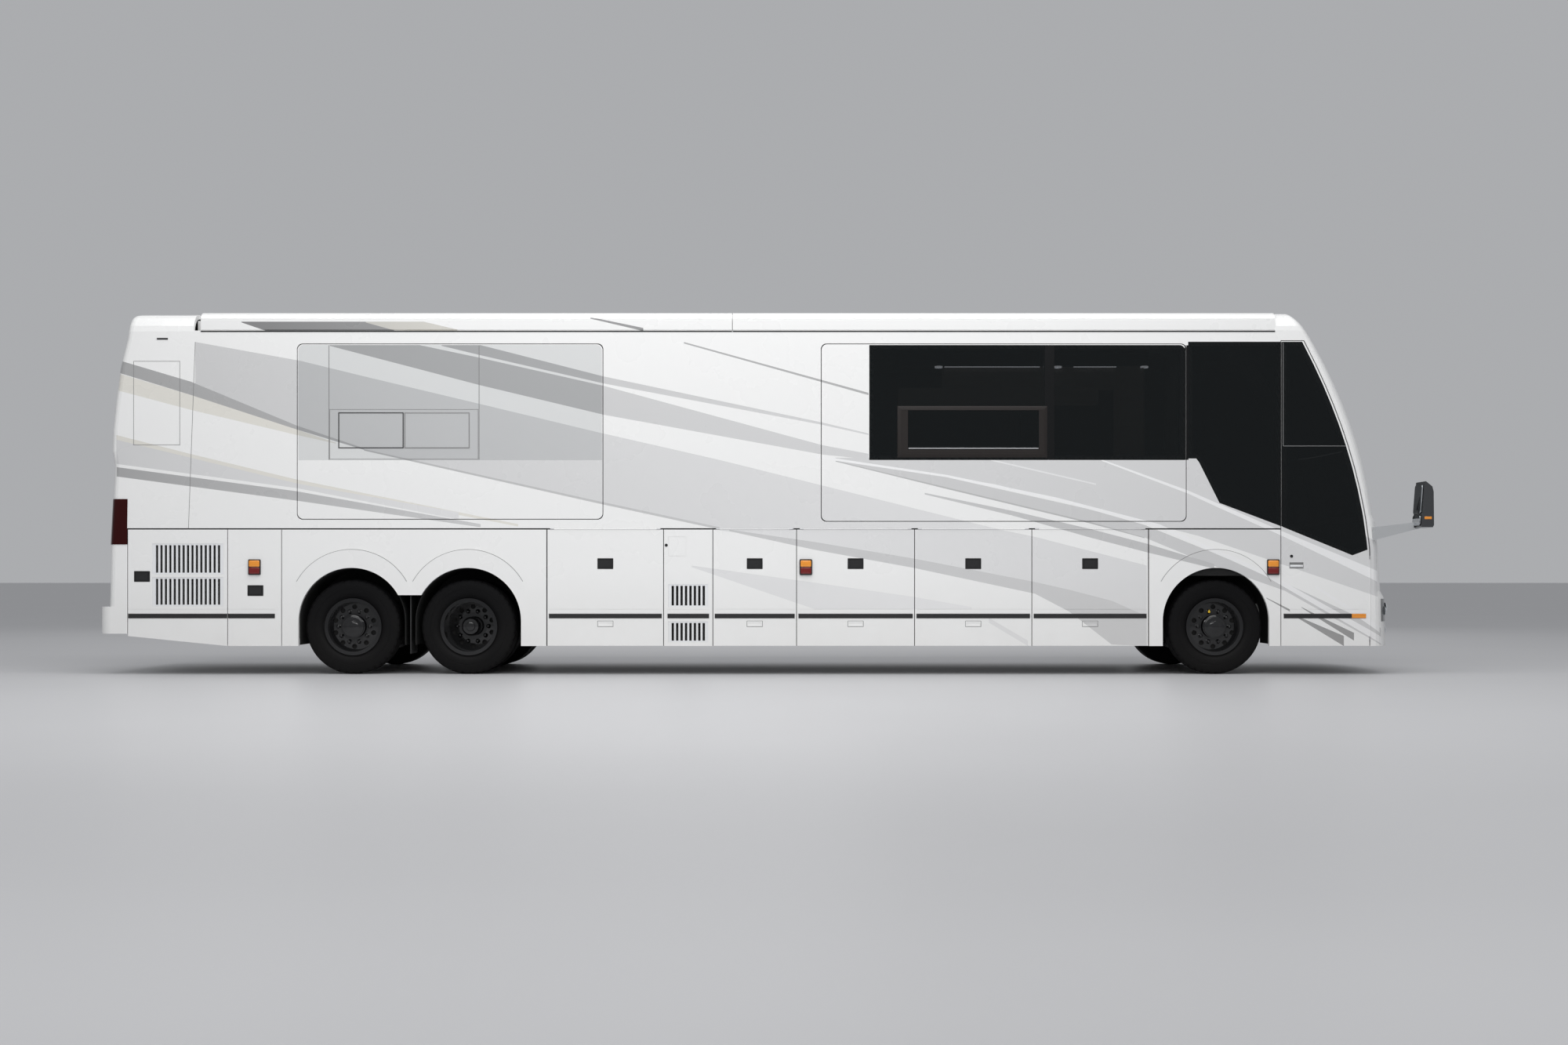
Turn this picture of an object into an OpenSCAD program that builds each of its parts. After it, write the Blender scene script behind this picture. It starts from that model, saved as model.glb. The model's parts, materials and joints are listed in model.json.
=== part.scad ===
// Three-axle motor coach with two slide-out rooms, hinged luggage doors and a steered front axle.
// +X points to the front, +Y to the left side, +Z up. The ground is z = 0.

/* [Body] */
// Width over the side panels
body_w = 2590; // [2540:10:2600]
// Top of the roof
roof_z = 3850; // [3800:10:3900]
// Height of the roof above the side walls
eave_h = 305; // [295:5:315]
// Lower edge of the side panels
skirt_z = 300; // [280:5:320]
// Height of the hinge line along the belt
belt_z = 1543; // [1520:1:1560]
// Lower edge of the windows
sill_z = 2290; // [2200:10:2350]
// Front axle to the bumper's face
front_overhang = 1969; // [1900:10:2040]
// Tag axle to the rear bumper's face
rear_overhang = 2689; // [2600:10:2750]
// Thickness of the upper side walls
wall_t = 50; // [46:1:54]
// Thickness of the fixed lower panels
panel_t = 45; // [42:1:48]
// Thickness of the front and rear shells
shell_t = 40; // [34:1:44]
// Gap between neighbouring panels
gap = 8; // [6:1:10]
// Gap that holds a hinge barrel
hinge_gap = 14; // [13:1:16]

/* [Wheels] */
// Tyre outer diameter
tyre_d = 1004; // [980:2:1010]
// Tyre width
tyre_w = 290; // [270:5:295]
// Diameter of the rim under the tyre
rim_d = 572; // [560:2:580]
// Centre of the front axle from the middle of the coach
front_axle_x = 4810; // [4790:5:4830]
// Front axle to drive axle
wheelbase = 7943; // [7800:1:8000]
// Drive axle to tag axle
tag_spacing = 1233; // [1225:1:1260]
// Space between a tyre and its arch
arch_gap = 63; // [55:1:70]
// Space between the twin tyres on the drive axle
twin_gap = 40; // [35:1:45]
// Radius of the wheel spindles
spindle_r = 45; // [40:1:50]
// Running clearance of spindles and pins
run_fit = 0.3; // [0.2:0.1:0.4]

/* [Slide-out rooms] */
// Length of the front room
front_room_w = 3867; // [3700:1:3900]
// Length of the rear room
rear_room_w = 3237; // [3100:1:3300]
// Depth of a room behind the side wall
room_depth = 760; // [700:10:800]
// Thickness of a room's floor, roof and ends
room_t = 40; // [35:1:45]
// Corner radius of a room's face
room_r = 60; // [40:5:70]

/* [Glass] */
// Thickness of a pane
glass_t = 8; // [6:1:10]
// Width of the ledge that a pane is bonded to
glass_lip = 45; // [35:5:55]
// Clearance around a pane
glass_fit = 0.4; // [0.3:0.1:0.6]

/* [Hidden] */
$fn = 48;
hw = body_w / 2;
wheel_r = tyre_d / 2;
arch_r = wheel_r + arch_gap;
twin_pitch = tyre_w + twin_gap;
drive_x = front_axle_x - wheelbase;
tag_x = drive_x - tag_spacing;
inner_y = hw - panel_t;
door_t = panel_t - 5;
door_top_z = belt_z - hinge_gap / 2;
wall_z = belt_z + hinge_gap / 2;
wall_top_z = roof_z - eave_h;
deck_z = belt_z + 2;
deck_t = 55;
barrel_r = hinge_gap / 2 - 1;
pin_r = barrel_r / 2;
fit = 0.3;

// Stations along the body
nose_tip_x = front_axle_x + front_overhang;
hinge_x = nose_tip_x - 336;
entry_x0 = front_axle_x + arch_r + 128;
wall_end_x = entry_x0 - gap;
roof_x1 = entry_x0 - 66;
rear_end_x = tag_x - rear_overhang;
rear_corner_x = rear_end_x + 307;
rear_joint_x = rear_end_x + 1013;
frame_end_x = rear_end_x + 195;
service_x = tag_x - arch_r - 755;
arch_x0 = tag_x - arch_r - 182;
case_x0 = rear_joint_x + 74;
case_joint_x = roof_x1 - 5761;

// Cab floor, and the left wall's lower edge beside it
cab_z = tyre_d + 56;
cab_t = 40;
cab_top = cab_z + cab_t;
cab_wall_z = wall_z - 314;

// Luggage bays, from the drive wheels' panel to the front wheel's: stations as shares of the space
bay_start = drive_x + arch_r + 277;
bay_end = front_axle_x - arch_r - 153;
bay_shares = [0, 0.1938, 0.2757, 0.4149, 0.6112, 0.8062, 1];
bay_x = [for (s = bay_shares) bay_start + s * (bay_end - bay_start)];
bulkhead_t = 40;

// Luggage doors: [first station, last station, has a side lamp]
bay_doors = [
    [0, 1, false],
    [2, 3, false],
    [3, 4, true],
    [4, 5, false],
    [5, 6, false],
];
vent_stations = [1, 2];

// Slide-out rooms: [rear end, front end, bottom, top]
room_top_z = wall_top_z - 42;
front_room_x1 = front_axle_x - 320;
rear_room_x0 = rear_joint_x + 1103;
front_room = [front_room_x1 - front_room_w, front_room_x1, wall_z + 77, room_top_z];
rear_room = [rear_room_x0, rear_room_x0 + rear_room_w, wall_z + 100, room_top_z];

// Side grilles: [rear end, front end, bottom, top]
radiator_x = [rear_corner_x + 266, service_x - 41];
vent_x = [bay_x[vent_stations[0]] + 50, bay_x[vent_stations[1]] - 50];
grilles = [
    [radiator_x[0], radiator_x[1], belt_z - 481, belt_z - 157],
    [radiator_x[0], radiator_x[1], belt_z - 821, belt_z - 514],
    [vent_x[0], vent_x[1], 714, 955],
    [vent_x[0], vent_x[1], skirt_z + 40, skirt_z + 260],
];
slot_pitch = 47;
slot_w = 26;
frame_w = 16;
grille_t = 22;
grille_inset = 3;

// Side lamps on fixed panels, by their middle
lamp_z = 1137;
side_lamps = [arch_x0 - 282, entry_x0 - 88];
lamp_w = 130;
lamp_h = 165;
lamp_t = 18;
lamp_r = 12;

// Dark strip, crease, latches and pulls pressed into the lower panels
strip_z = 592;
strip_h = 52;
strip_d = 8;
crease_z = 686;
crease_h = 5;
crease_d = 3;
latch_w = 170;
latch_h = 116;
latch_z = 1174;
pull_h = 66;
pull_z = 535;
press_d = 10;
press_r = 8;

// Placing helpers

// The right side as drawn, or its mirror image on the left
module handed(left) {
    if (left) mirror([0, 1, 0]) children();
    else children();
}

// An outline in side view, from the outer face y_out inwards by t, on the right side
module side_plate(t, y_out = -hw) {
    translate([0, y_out + t, 0]) rotate([90, 0, 0]) linear_extrude(t) children();
}

// A box between two corners
module block(a, b) {
    translate(a) cube(b - a);
}

// A rectangle in side view with round corners
module rounded(x0, z0, x1, z1, r) {
    translate([x0 + r, z0]) square([x1 - x0 - 2 * r, z1 - z0]);
    translate([x0, z0 + r]) square([x1 - x0, z1 - z0 - 2 * r]);
    for (x = [x0 + r, x1 - r], z = [z0 + r, z1 - r]) translate([x, z]) circle(r);
}

module rect(x0, z0, x1, z1) {
    translate([x0, z0]) square([x1 - x0, z1 - z0]);
}

// A round bar along Y
module bar_y(r, y0, y1) {
    translate([0, y1, 0]) rotate([90, 0, 0]) cylinder(r = r, h = y1 - y0);
}

// A round bar along X
module bar_x(r, x0, x1) {
    translate([x0, 0, 0]) rotate([0, 90, 0]) cylinder(r = r, h = x1 - x0);
}

function between(values, low, high) = [for (v = values) if (v >= low && v <= high) v];
function spread(low, high, steps) = [for (i = [0:steps]) low + (high - low) * i / steps];

// Shapes of the front and rear shells

// Front end in side view, up to the windshield: [z, distance behind the bumper's face]
apron = [[skirt_z, 0], [800, 22], [822, 34], [880, 84], [1635, 151], [1693, 196]];
screen_z = 1693;
screen_x0 = nose_tip_x - lookup(screen_z, apron);
brow_z = wall_top_z - 245;
brow_x = entry_x0 + 97;
brow_power = 8;
screen_sweep = 0.843 * (screen_x0 - brow_x);
pillar_x0 = hinge_x + hinge_gap / 2 - 1;
pillar_z = 1320;
pillar_sweep = pillar_x0 - entry_x0 - 72;
roof_corner_r = 200;

// A curve that leans back more and more, from 0 at the foot to 1 at the roof
function lean(z, foot, slope) = let (u = (z - foot) / (roof_z - foot)) slope * u + (1 - slope) * u * u;
function screen_x(z) = screen_x0 - screen_sweep * lean(z, screen_z, 0.199);
// Above the glass the curve turns over into the roof
function turn(z) = sqrt(max(0, 1 - pow(max(0, z - brow_z) / (roof_z - brow_z), brow_power)));
function nose_x(z) = z <= screen_z ? nose_tip_x - lookup(z, apron)
    : brow_x + (screen_x(z) - brow_x) * turn(z);
// Line where the front shell meets the sides
function pillar_x(z) = z <= pillar_z ? pillar_x0 : pillar_x0 - pillar_sweep * lean(z, pillar_z, 0.289);
// Half width of the body, drawn in at the roof's edge
function half_w(z) = z <= roof_z - roof_corner_r ? hw
    : hw - roof_corner_r + sqrt(max(0, pow(roof_corner_r, 2) - pow(z - roof_z + roof_corner_r, 2)));
// The inner skin sinks below the outer one where the sides turn into the roof
function sink(z, d) = d * max(0, (z - wall_top_z) / eave_h);

// Rounded plan: [share of the half width, share of the depth] at an angle from straight ahead
function plan(t, n) = [sign(t) * pow(abs(sin(t)), 2 / n), pow(abs(cos(t)), 2 / n)];
nose_power = 2.6;
tail_power = 6;

// Points of the front shell, a depth d below its skin
function nose_point(t, z, d) = let (p = plan(t, nose_power), s = pillar_x(z))
    [s + (nose_x(z) - d - s) * p[1], (half_w(z) - d) * p[0], z - sink(z, d)];
function brow_end(side, z, d) = [roof_x1, side * (half_w(z) - d), z - sink(z, d)];
screen_angle = 60;
lamp_angles = [48, 72];
nose_half = [10, 20, 30, 40, 48, 54, 60, 66, 72, 78, 84, 90];
nose_angles = concat([for (i = [len(nose_half) - 1:-1:0]) -nose_half[i]], [0], nose_half);
lamp_low = 560;
lamp_high = 800;
glass_low = 1730;
glass_split = [2426, 2434];
glass_high = wall_top_z - 45;
brow_shares = [0.18, 0.34, 0.51, 0.67, 0.80, 0.90, 0.97, 1];
nose_levels = concat([skirt_z, 420, lamp_low, lamp_high, 822, 880, 1000, 1200, pillar_z, 1420, 1635,
    screen_z], spread(glass_low, glass_split[0], 3), spread(glass_split[1], glass_high, 5), [wall_top_z],
    [for (s = brow_shares) wall_top_z + s * eave_h]);
// The same line through the shell's own levels, for the panels that meet it
function pillar_line(z) = lookup(z, [for (l = nose_levels) [l, pillar_x(l)]]);
// Points down that line between two heights, a margin behind it
function pillar_edge(low, high, margin) = [for (z = concat([low], [for (l = nose_levels)
    if (l > max(low, pillar_z - 1) && l < high) l], [high])) [pillar_line(z) - margin, z]];

function nose_row(z, d, angles) = [for (t = angles) nose_point(t, z, d)];
function cap_row(z, d) = concat([brow_end(-1, z, d)], nose_row(z, d, nose_angles), [brow_end(1, z, d)]);
// The flat tops of the shells run to the roof
top_inset = 40;
function flat_top(x, z, d, n) = [for (j = [0:n])
    [x, (half_w(roof_z) - top_inset - d) * (2 * j / n - 1), z - d]];

// Rear end in side view: [z, distance ahead of the bumper's face], by shares of the height above the belt
bumper_z = [430, 715];
bumper_r = 130;
tail_lamp_low = belt_z - 165;
engine_low = bumper_z[1] + 45;
engine_high = belt_z - 43;
engine_angle = 28;
tail_top_z = roof_z - 10;
function above_belt(share) = belt_z + share * (tail_top_z - belt_z);
tail_lamp_share = 0.138;
tail_inset = [[bumper_z[1], 65], [tail_lamp_low, 77], each [for (s = [[tail_lamp_share, 102], [0.282, 119],
    [0.307, 114], [0.358, 91], [0.456, 96], [0.596, 131], [0.745, 178], [0.828, 223], [0.875, 251],
    [0.939, 270], [0.978, 285], [1, 320]]) [above_belt(s[0]), s[1]]]];
tail_shares = [tail_lamp_share, 0.282, 0.307, 0.358, 0.456, 0.596, 0.745, 0.828, 0.872, 0.913, 0.939, 0.961,
    0.978, 0.991, 1];
tail_levels = concat([bumper_z[1], engine_low, 1000, tail_lamp_low, engine_high, wall_z],
    [for (s = tail_shares) above_belt(s)]);
tail_lamp_high = above_belt(tail_lamp_share);
tail_depth = 190;
tail_half_angles = [3, 12, engine_angle, 45, 60, 72, 79, 85, 90];
tail_angles = concat([for (i = [len(tail_half_angles) - 1:-1:0]) -tail_half_angles[i]], tail_half_angles);

// Points of the rear shell, drawn as if it faced forward
function tail_x(z) = -rear_end_x - lookup(z, tail_inset);
function tail_w(z) = half_w(z + roof_z - tail_top_z);
function tail_point(t, z, d) = let (p = plan(t, tail_power), s = tail_x(z) - tail_depth)
    [s + (tail_depth - d) * p[1], (tail_w(z) - d) * p[0], z - sink(z, d)];
function tail_side(x, side, z, d) = [x, side * (tail_w(z) - d), z - sink(z, d)];
function corner_x(z) = min(-rear_corner_x, tail_x(z) - tail_depth - 20);
function tail_row(z, d) = concat([tail_side(-rear_joint_x, -1, z, d), tail_side(corner_x(z), -1, z, d)],
    [for (t = tail_angles) tail_point(t, z, d)],
    [tail_side(corner_x(z), 1, z, d), tail_side(-rear_joint_x, 1, z, d)]);

// A shell between two grids of points; keep says which cells are there
module grid_shell(outer, inner, keep) {
    rows = len(outer);
    cols = len(outer[0]);
    points = concat([for (r = outer) each r], [for (r = inner) each r]);
    function o(i, j) = i * cols + j;
    function n(i, j) = (rows + i) * cols + j;
    function has(i, j) = i >= 0 && j >= 0 && i < rows - 1 && j < cols - 1 && keep[i][j];
    function quad(a, b, c, d, flip = false) = flip ? [[a, b, d], [b, c, d]] : [[a, b, c], [a, c, d]];
    function first_half(j) = j < cols / 2 - 1;
    faces = [for (i = [0:rows - 2], j = [0:cols - 2]) if (keep[i][j]) each concat(
        quad(o(i, j), o(i + 1, j), o(i + 1, j + 1), o(i, j + 1), first_half(j)),
        quad(n(i, j), n(i, j + 1), n(i + 1, j + 1), n(i + 1, j), first_half(j)),
        has(i - 1, j) ? [] : quad(o(i, j), o(i, j + 1), n(i, j + 1), n(i, j)),
        has(i + 1, j) ? [] : quad(o(i + 1, j + 1), o(i + 1, j), n(i + 1, j), n(i + 1, j + 1)),
        has(i, j - 1) ? [] : quad(o(i + 1, j), o(i, j), n(i, j), n(i + 1, j)),
        has(i, j + 1) ? [] : quad(o(i, j + 1), o(i + 1, j + 1), n(i + 1, j + 1), n(i, j + 1)))];
    polyhedron(points, faces);
}

// A patch of the front shell's skin between two depths, a little smaller than the cells it fills
module nose_patch(angles, levels, d0, d1) {
    turn_fit = 0.06;
    a = [for (j = [0:len(angles) - 1])
        angles[j] + (j == 0 ? turn_fit : j == len(angles) - 1 ? -turn_fit : 0)];
    l = [for (i = [0:len(levels) - 1])
        levels[i] + (i == 0 ? glass_fit : i == len(levels) - 1 ? -glass_fit : 0)];
    grid_shell([for (z = l) nose_row(z, d0, a)], [for (z = l) nose_row(z, d1, a)],
        [for (i = [0:len(l) - 2]) [for (j = [0:len(a) - 2]) true]]);
}

// Structure

module bay_frame() {
    color("dimgray") {
        block([bay_x[0], -inner_y, skirt_z], [bay_x[6], inner_y, skirt_z + bulkhead_t]);
        for (x = bay_x) block([x - bulkhead_t / 2, -inner_y, skirt_z], [x + bulkhead_t / 2, inner_y, deck_z]);
    }
}

bay_front_x = bay_x[6] + bulkhead_t / 2;
bay_rear_x = bay_x[0] - bulkhead_t / 2;

module deck() {
    color("gray")
        union() {
            block([frame_end_x, -(hw - wall_t), deck_z], [bay_front_x, hw - wall_t, deck_z + deck_t]);
            for (r = [front_room, rear_room]) room_rails(r);
        }
}

cab_front_x = hinge_x - 23;
step_x = [entry_x0 + 57, hinge_x - 63];
step_y0 = -(hw - wall_t - 10);
step_run = 225;
step_y1 = step_y0 + 3 * step_run;
tread_h = 220;
tread_z = 400;
tread_t = 40;

module cab_floor() {
    color("gray") {
        difference() {
            block([bay_front_x, -inner_y, cab_z], [cab_front_x, inner_y, cab_top]);
            block([step_x[0], -hw, cab_z - 1], [step_x[1], step_y1, cab_top + 1]);
            block([wall_end_x, -hw, cab_z - 1], [cab_front_x + 1, step_y0, cab_top + 1]);
        }
        // Entry steps
        translate([step_x[0], 0, 0]) rotate([90, 0, 90]) linear_extrude(step_x[1] - step_x[0])
            polygon(concat([[step_y0, tread_z - tread_t], [step_y0, tread_z]],
                [for (i = [1:2], dz = [0, tread_h])
                    [step_y0 + i * step_run, tread_z + (i - 1) * tread_h + dz]],
                [[step_y1, tread_z + 2 * tread_h], [step_y1, cab_top], [step_y1 + tread_t, cab_top]],
                [for (i = [3:-1:1], dz = [tread_h, 0]) if (!(i == 3 && dz > 0))
                    [step_y0 + i * step_run + tread_t, tread_z - tread_t + (i - 1) * tread_h + dz]]));
    }
}

// Running gear's main places
wheel_inset = 45;
king_offset = 205;
wheel_y = hw - wheel_inset - tyre_w / 2;
king_y = wheel_y - king_offset;

rail_w = 100;
rail_out = wheel_y - twin_pitch - tyre_w / 2 - 90;
rail_y = [rail_out - rail_w, rail_out];
rail_z = [wheel_r + 398, wheel_r + 578];
front_rail_y = [king_y - 520, king_y - 440];
front_rail_z = wheel_r + 298;
belt_rail_h = 75;
belt_rail_w = 60;

module chassis_rails() {
    // The cross member under the dashboard
    cross_x = hinge_x - 543;
    color("dimgray") {
        for (s = [-1, 1]) {
            y = [min(s * rail_y), max(s * rail_y)];
            b = [min(s * inner_y, s * (inner_y - belt_rail_w)),
                max(s * inner_y, s * (inner_y - belt_rail_w))];
            f = [min(s * front_rail_y), max(s * front_rail_y)];
            block([frame_end_x, y[0], rail_z[0]], [bay_rear_x, y[1], rail_z[1]]);
            block([frame_end_x + belt_rail_w, b[0], deck_z - belt_rail_h], [bay_rear_x, b[1], deck_z]);
            block([bay_front_x, b[0], deck_z - belt_rail_h], [wall_end_x, b[1], deck_z]);
            block([bay_front_x, f[0], front_rail_z], [cab_front_x - 20, f[1], cab_z]);
            // Posts from the cab floor to the belt rail
            for (x = [bay_front_x, wall_end_x - belt_rail_w])
                block([x, b[0], cab_top], [x + belt_rail_w, b[1], deck_z]);
        }
        for (x = [frame_end_x, arch_x0 - 20])
            block([x, -inner_y, rail_z[1]], [x + bulkhead_t, inner_y, deck_z]);
        block([cross_x, -front_rail_y[0], front_rail_z], [cross_x + 60, front_rail_y[0], front_rail_z + 100]);
    }
}

// Engine: [rear end, front end], [bottom, top]
engine_span = [rear_end_x + 415, arch_x0 - 187];
engine_z = [wheel_r + 58, deck_z - 165];

module engine_block() {
    color("darkslategray")
        block([engine_span[0], -rail_y[0], engine_z[0]], [engine_span[1], rail_y[0], engine_z[1]]);
}

eye_r = 50;
king_r = 22;
eye_z = [wheel_r - 72, wheel_r + 58];
bellows_r = 92;
bellows_x = 330;
beam_x = 430;
beam_z = [20, 70];

// A dead or live rear axle beam with its air springs under the frame rails
module axle_beam(x, tube_r, reach) {
    rail_mid = (rail_y[0] + rail_y[1]) / 2;
    translate([x, 0, wheel_r]) {
        bar_y(tube_r, -rail_mid - 80, rail_mid + 80);
        bar_y(spindle_r, -wheel_y - reach, wheel_y + reach);
        for (s = [-1, 1]) {
            block([-beam_x, s * rail_mid - 50, beam_z[0]], [beam_x, s * rail_mid + 50, beam_z[1]]);
            for (dx = [-bellows_x, bellows_x]) translate([dx, s * rail_mid, beam_z[1]])
                cylinder(r = bellows_r, h = rail_z[0] - wheel_r - beam_z[1]);
        }
    }
}

module drive_axle() {
    color("dimgray") {
        axle_beam(drive_x, 70, -55);
        // Differential and its input shaft
        translate([drive_x, 0, wheel_r]) {
            sphere(r = 190);
            bar_x(90, 0, 260);
        }
    }
}

module tag_axle() {
    color("dimgray") axle_beam(tag_x, 60, 10);
}

module front_axle() {
    spring_y = (front_rail_y[0] + front_rail_y[1]) / 2;
    color("dimgray") translate([front_axle_x, 0, 0]) {
        difference() {
            union() {
                block([-45, -king_y, eye_z[0] + 20], [45, king_y, eye_z[1] - 20]);
                for (s = [-1, 1]) translate([0, s * king_y, eye_z[0]])
                    cylinder(r = eye_r, h = eye_z[1] - eye_z[0]);
            }
            for (s = [-1, 1]) translate([0, s * king_y, 0]) cylinder(r = king_r + run_fit, h = tyre_d);
        }
        for (s = [-1, 1]) translate([0, s * spring_y, eye_z[1] - 20])
            cylinder(r = bellows_r, h = front_rail_z - eye_z[1] + 20);
    }
}

// Steering knuckle: kingpin, yoke, spindle and steering arm, on the right
module knuckle() {
    arm_t = 30;
    arm_r = 42;
    clear = 6;
    plate_y = eye_r + 8;
    plate_t = 28;
    foot_z = eye_z[0] - clear - arm_t;
    head_z = eye_z[1] + clear;
    color("slategray") translate([front_axle_x, -king_y, 0]) {
        translate([0, 0, foot_z]) cylinder(r = king_r, h = head_z + arm_t - foot_z);
        for (z = [foot_z, head_z]) {
            translate([0, 0, z]) cylinder(r = arm_r, h = arm_t);
            block([-arm_r, -plate_y - plate_t, z], [arm_r, 0, z + arm_t]);
        }
        block([-arm_r, -plate_y - plate_t, foot_z], [arm_r, -plate_y, head_z + arm_t]);
        translate([0, 0, wheel_r]) bar_y(spindle_r, king_y - wheel_y - 10, -plate_y - 10);
        block([-200, -20, foot_z], [0, 20, foot_z + arm_t]);
    }
}

// Wheels, with the axial middle of the tyre at y = 0

flange_h = 18;
flange_t = 12;
barrel_w = tyre_w * 0.40;
bead_share = (barrel_w - 6) / (tyre_w / 2);

// Tyre section turned about Y: [radius, share of the half width]
tyre_section = [[rim_d / 2 + fit, bead_share - 0.04], [rim_d / 2 + flange_h + 2, bead_share],
    [rim_d / 2 + 60, 0.96], [rim_d / 2 + 100, 1.0], [wheel_r - 70, 0.985], [wheel_r - 28, 0.91],
    [wheel_r - 8, 0.82], [wheel_r, 0.70]];

module tyre() {
    color("black") rotate([90, 0, 0]) rotate_extrude()
        polygon(concat([for (p = tyre_section) [p[0], p[1] * tyre_w / 2]],
            [for (i = [len(tyre_section) - 1:-1:0]) [tyre_section[i][0], -tyre_section[i][1] * tyre_w / 2]]));
}

// Rim barrel with flanges
module barrel() {
    r = rim_d / 2;
    w = barrel_w;
    rotate([90, 0, 0]) rotate_extrude()
        polygon([[r - 20, -w - flange_t], [r + flange_h, -w - flange_t], [r + flange_h, -w], [r, -w + 4],
            [r, w - 4], [r + flange_h, w], [r + flange_h, w + flange_t], [r - 20, w + flange_t]]);
}

hole_count = 10;
hand_hole_r = 26;
stud_circle_r = 167.5;
stud_r = 15;
stud_len = 40;
dish_r = 150;

// Disc with hand holes, nuts and a hub around the spindle, at y; the hub runs out and back from it
module disc(y, hub_out, hub_r, hub_back) {
    r = rim_d / 2;
    difference() {
        union() {
            rotate([90, 0, 0]) rotate_extrude()
                polygon([[60, -y - 8], [dish_r, -y - 8], [r - 10, -y - 22], [r - 10, -y - 6],
                    [dish_r, -y + 8], [60, -y + 8]]);
            bar_y(hub_r, y - hub_out, y + hub_back);
            for (i = [0:hole_count - 1]) rotate([0, i * 360 / hole_count, 0]) translate([stud_circle_r, 0, 0])
                bar_y(stud_r, y - stud_len, y);
        }
        for (i = [0:hole_count - 1]) rotate([0, (i + 0.5) * 360 / hole_count, 0]) translate([r - 74, y, 0])
            bar_y(hand_hole_r, -60, 60);
        bar_y(spindle_r + run_fit, y - hub_out + 12, y + hub_back + 1);
    }
}

module rim_single() {
    color("black") {
        barrel();
        disc(-40, 92, 112, 60);
    }
}

module rim_twin() {
    mid = twin_pitch / 2;
    r = [rim_d / 2 - 26, rim_d / 2 - 10];
    foot = 60;
    color("black") {
        barrel();
        translate([0, twin_pitch, 0]) barrel();
        translate([0, mid, 0]) disc(0, 150, 95, 60);
        // Cones from the clamped discs to both barrels
        rotate([90, 0, 0]) rotate_extrude()
            polygon([[r[0], -mid - 8], [r[1], -mid - 20], [r[1], -foot], [r[0], -foot]]);
        translate([0, twin_pitch, 0]) rotate([90, 0, 0]) rotate_extrude()
            polygon([[r[0], foot], [r[1], foot], [r[1], mid + 20], [r[0], mid + 8]]);
    }
}

module twin_tyres() {
    for (y = [0, twin_pitch]) translate([0, y, 0]) tyre();
}

module at_wheel(x, left) {
    handed(left) translate([x, -wheel_y, wheel_r]) children();
}

// Sides

// Lower edge of the cab's side glass, from the front room to the windshield pillar: [x, z]
cab_glass_x = front_room[1] + 3 * gap;
cab_glass_top = wall_top_z - 15;
cab_glass_foot = [hinge_x - 185, wall_z - 288];
cab_glass_line = [[cab_glass_x, sill_z], [front_room[1] + 110, sill_z], [front_room[1] + 141, sill_z - 41],
    [front_room[1] + 357, wall_z + 268], [entry_x0, wall_z + 20], cab_glass_foot];
function cab_glass_low(x) = lookup(x, cab_glass_line);
// Points of that edge between two stations
function cab_edge(x0, x1) = concat([[x0, cab_glass_low(x0)]],
    [for (p = cab_glass_line) if (p[0] > x0 && p[0] < x1) p], [[x1, cab_glass_low(x1)]]);

module cab_window() {
    x1 = wall_end_x;
    polygon(concat(cab_edge(cab_glass_x, x1), [[x1, cab_glass_top], [cab_glass_x, cab_glass_top]]));
}

// The pane that reaches the pillar, cut to the pillar's line
module pillar_glass(x0, margin) {
    polygon(concat(cab_edge(x0, cab_glass_foot[0]),
        pillar_edge(cab_glass_foot[1] + 60, cab_glass_top, margin), [[x0, cab_glass_top]]));
}

// A ledge for a bonded pane and the opening inside it
module glazed(t) {
    side_plate(glass_t + 1, -hw - 1) children();
    side_plate(t + 2, -hw - 1) offset(delta = -glass_lip) children();
}

module pane() {
    side_plate(glass_t) offset(delta = -glass_fit) children();
}

module room_outline(room, grow = 0) {
    rounded(room[0] - grow, room[2] - grow, room[1] + grow, room[3] + grow, room_r);
}

module side_wall_right() {
    color("white") difference() {
        side_plate(wall_t) rect(rear_joint_x, wall_z, wall_end_x, wall_top_z);
        for (room = [front_room, rear_room]) side_plate(wall_t + 2, -hw - 1) room_outline(room, gap);
        glazed(wall_t) cab_window();
    }
}

// Window bands on the left: [rear end, front end]
left_bands = [[rear_room[0] + 333, rear_room[1] - 1311], [front_room[0] + 547, front_room[1] - 1530],
    [front_room[1] - 1490, front_room[1] - 90]];

module band(b) {
    rounded(b[0], sill_z, b[1], room_top_z, 40);
}

module driver_window() {
    pillar_glass(cab_glass_x, 25);
}

module side_wall_left() {
    color("white") mirror([0, 1, 0]) difference() {
        side_plate(wall_t) polygon(concat(
            [[rear_joint_x, wall_z], [wall_end_x, wall_z], [wall_end_x, cab_wall_z]],
            pillar_edge(cab_wall_z, wall_top_z, fit), [[rear_joint_x, wall_top_z]]));
        for (b = left_bands) glazed(wall_t) band(b);
        glazed(wall_t) driver_window();
    }
}

module side_windows() {
    color([0.05, 0.06, 0.07, 0.6]) {
        pane() cab_window();
        mirror([0, 1, 0]) {
            for (b = left_bands) pane() band(b);
            pane() driver_window();
        }
    }
}

// Lower panels

// Lower edge of the body, which rises behind the tag wheels
function skirt(x) = x >= service_x ? skirt_z : skirt_z + (service_x - x) * 0.1;

bridge_z = arch_r + 275;
// Crescent over a wheel opening: its outer arc, and how far it stands out at the top
flare_r = arch_r + 103;
flare_z = arch_r + 90;
flare_t = 14;
flare_root = 5;
flare_foot_z = bridge_z + 60;

module arch(x) {
    translate([x, arch_r]) circle(arch_r);
    rect(x - arch_r, 0, x + arch_r, arch_r);
}

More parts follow.
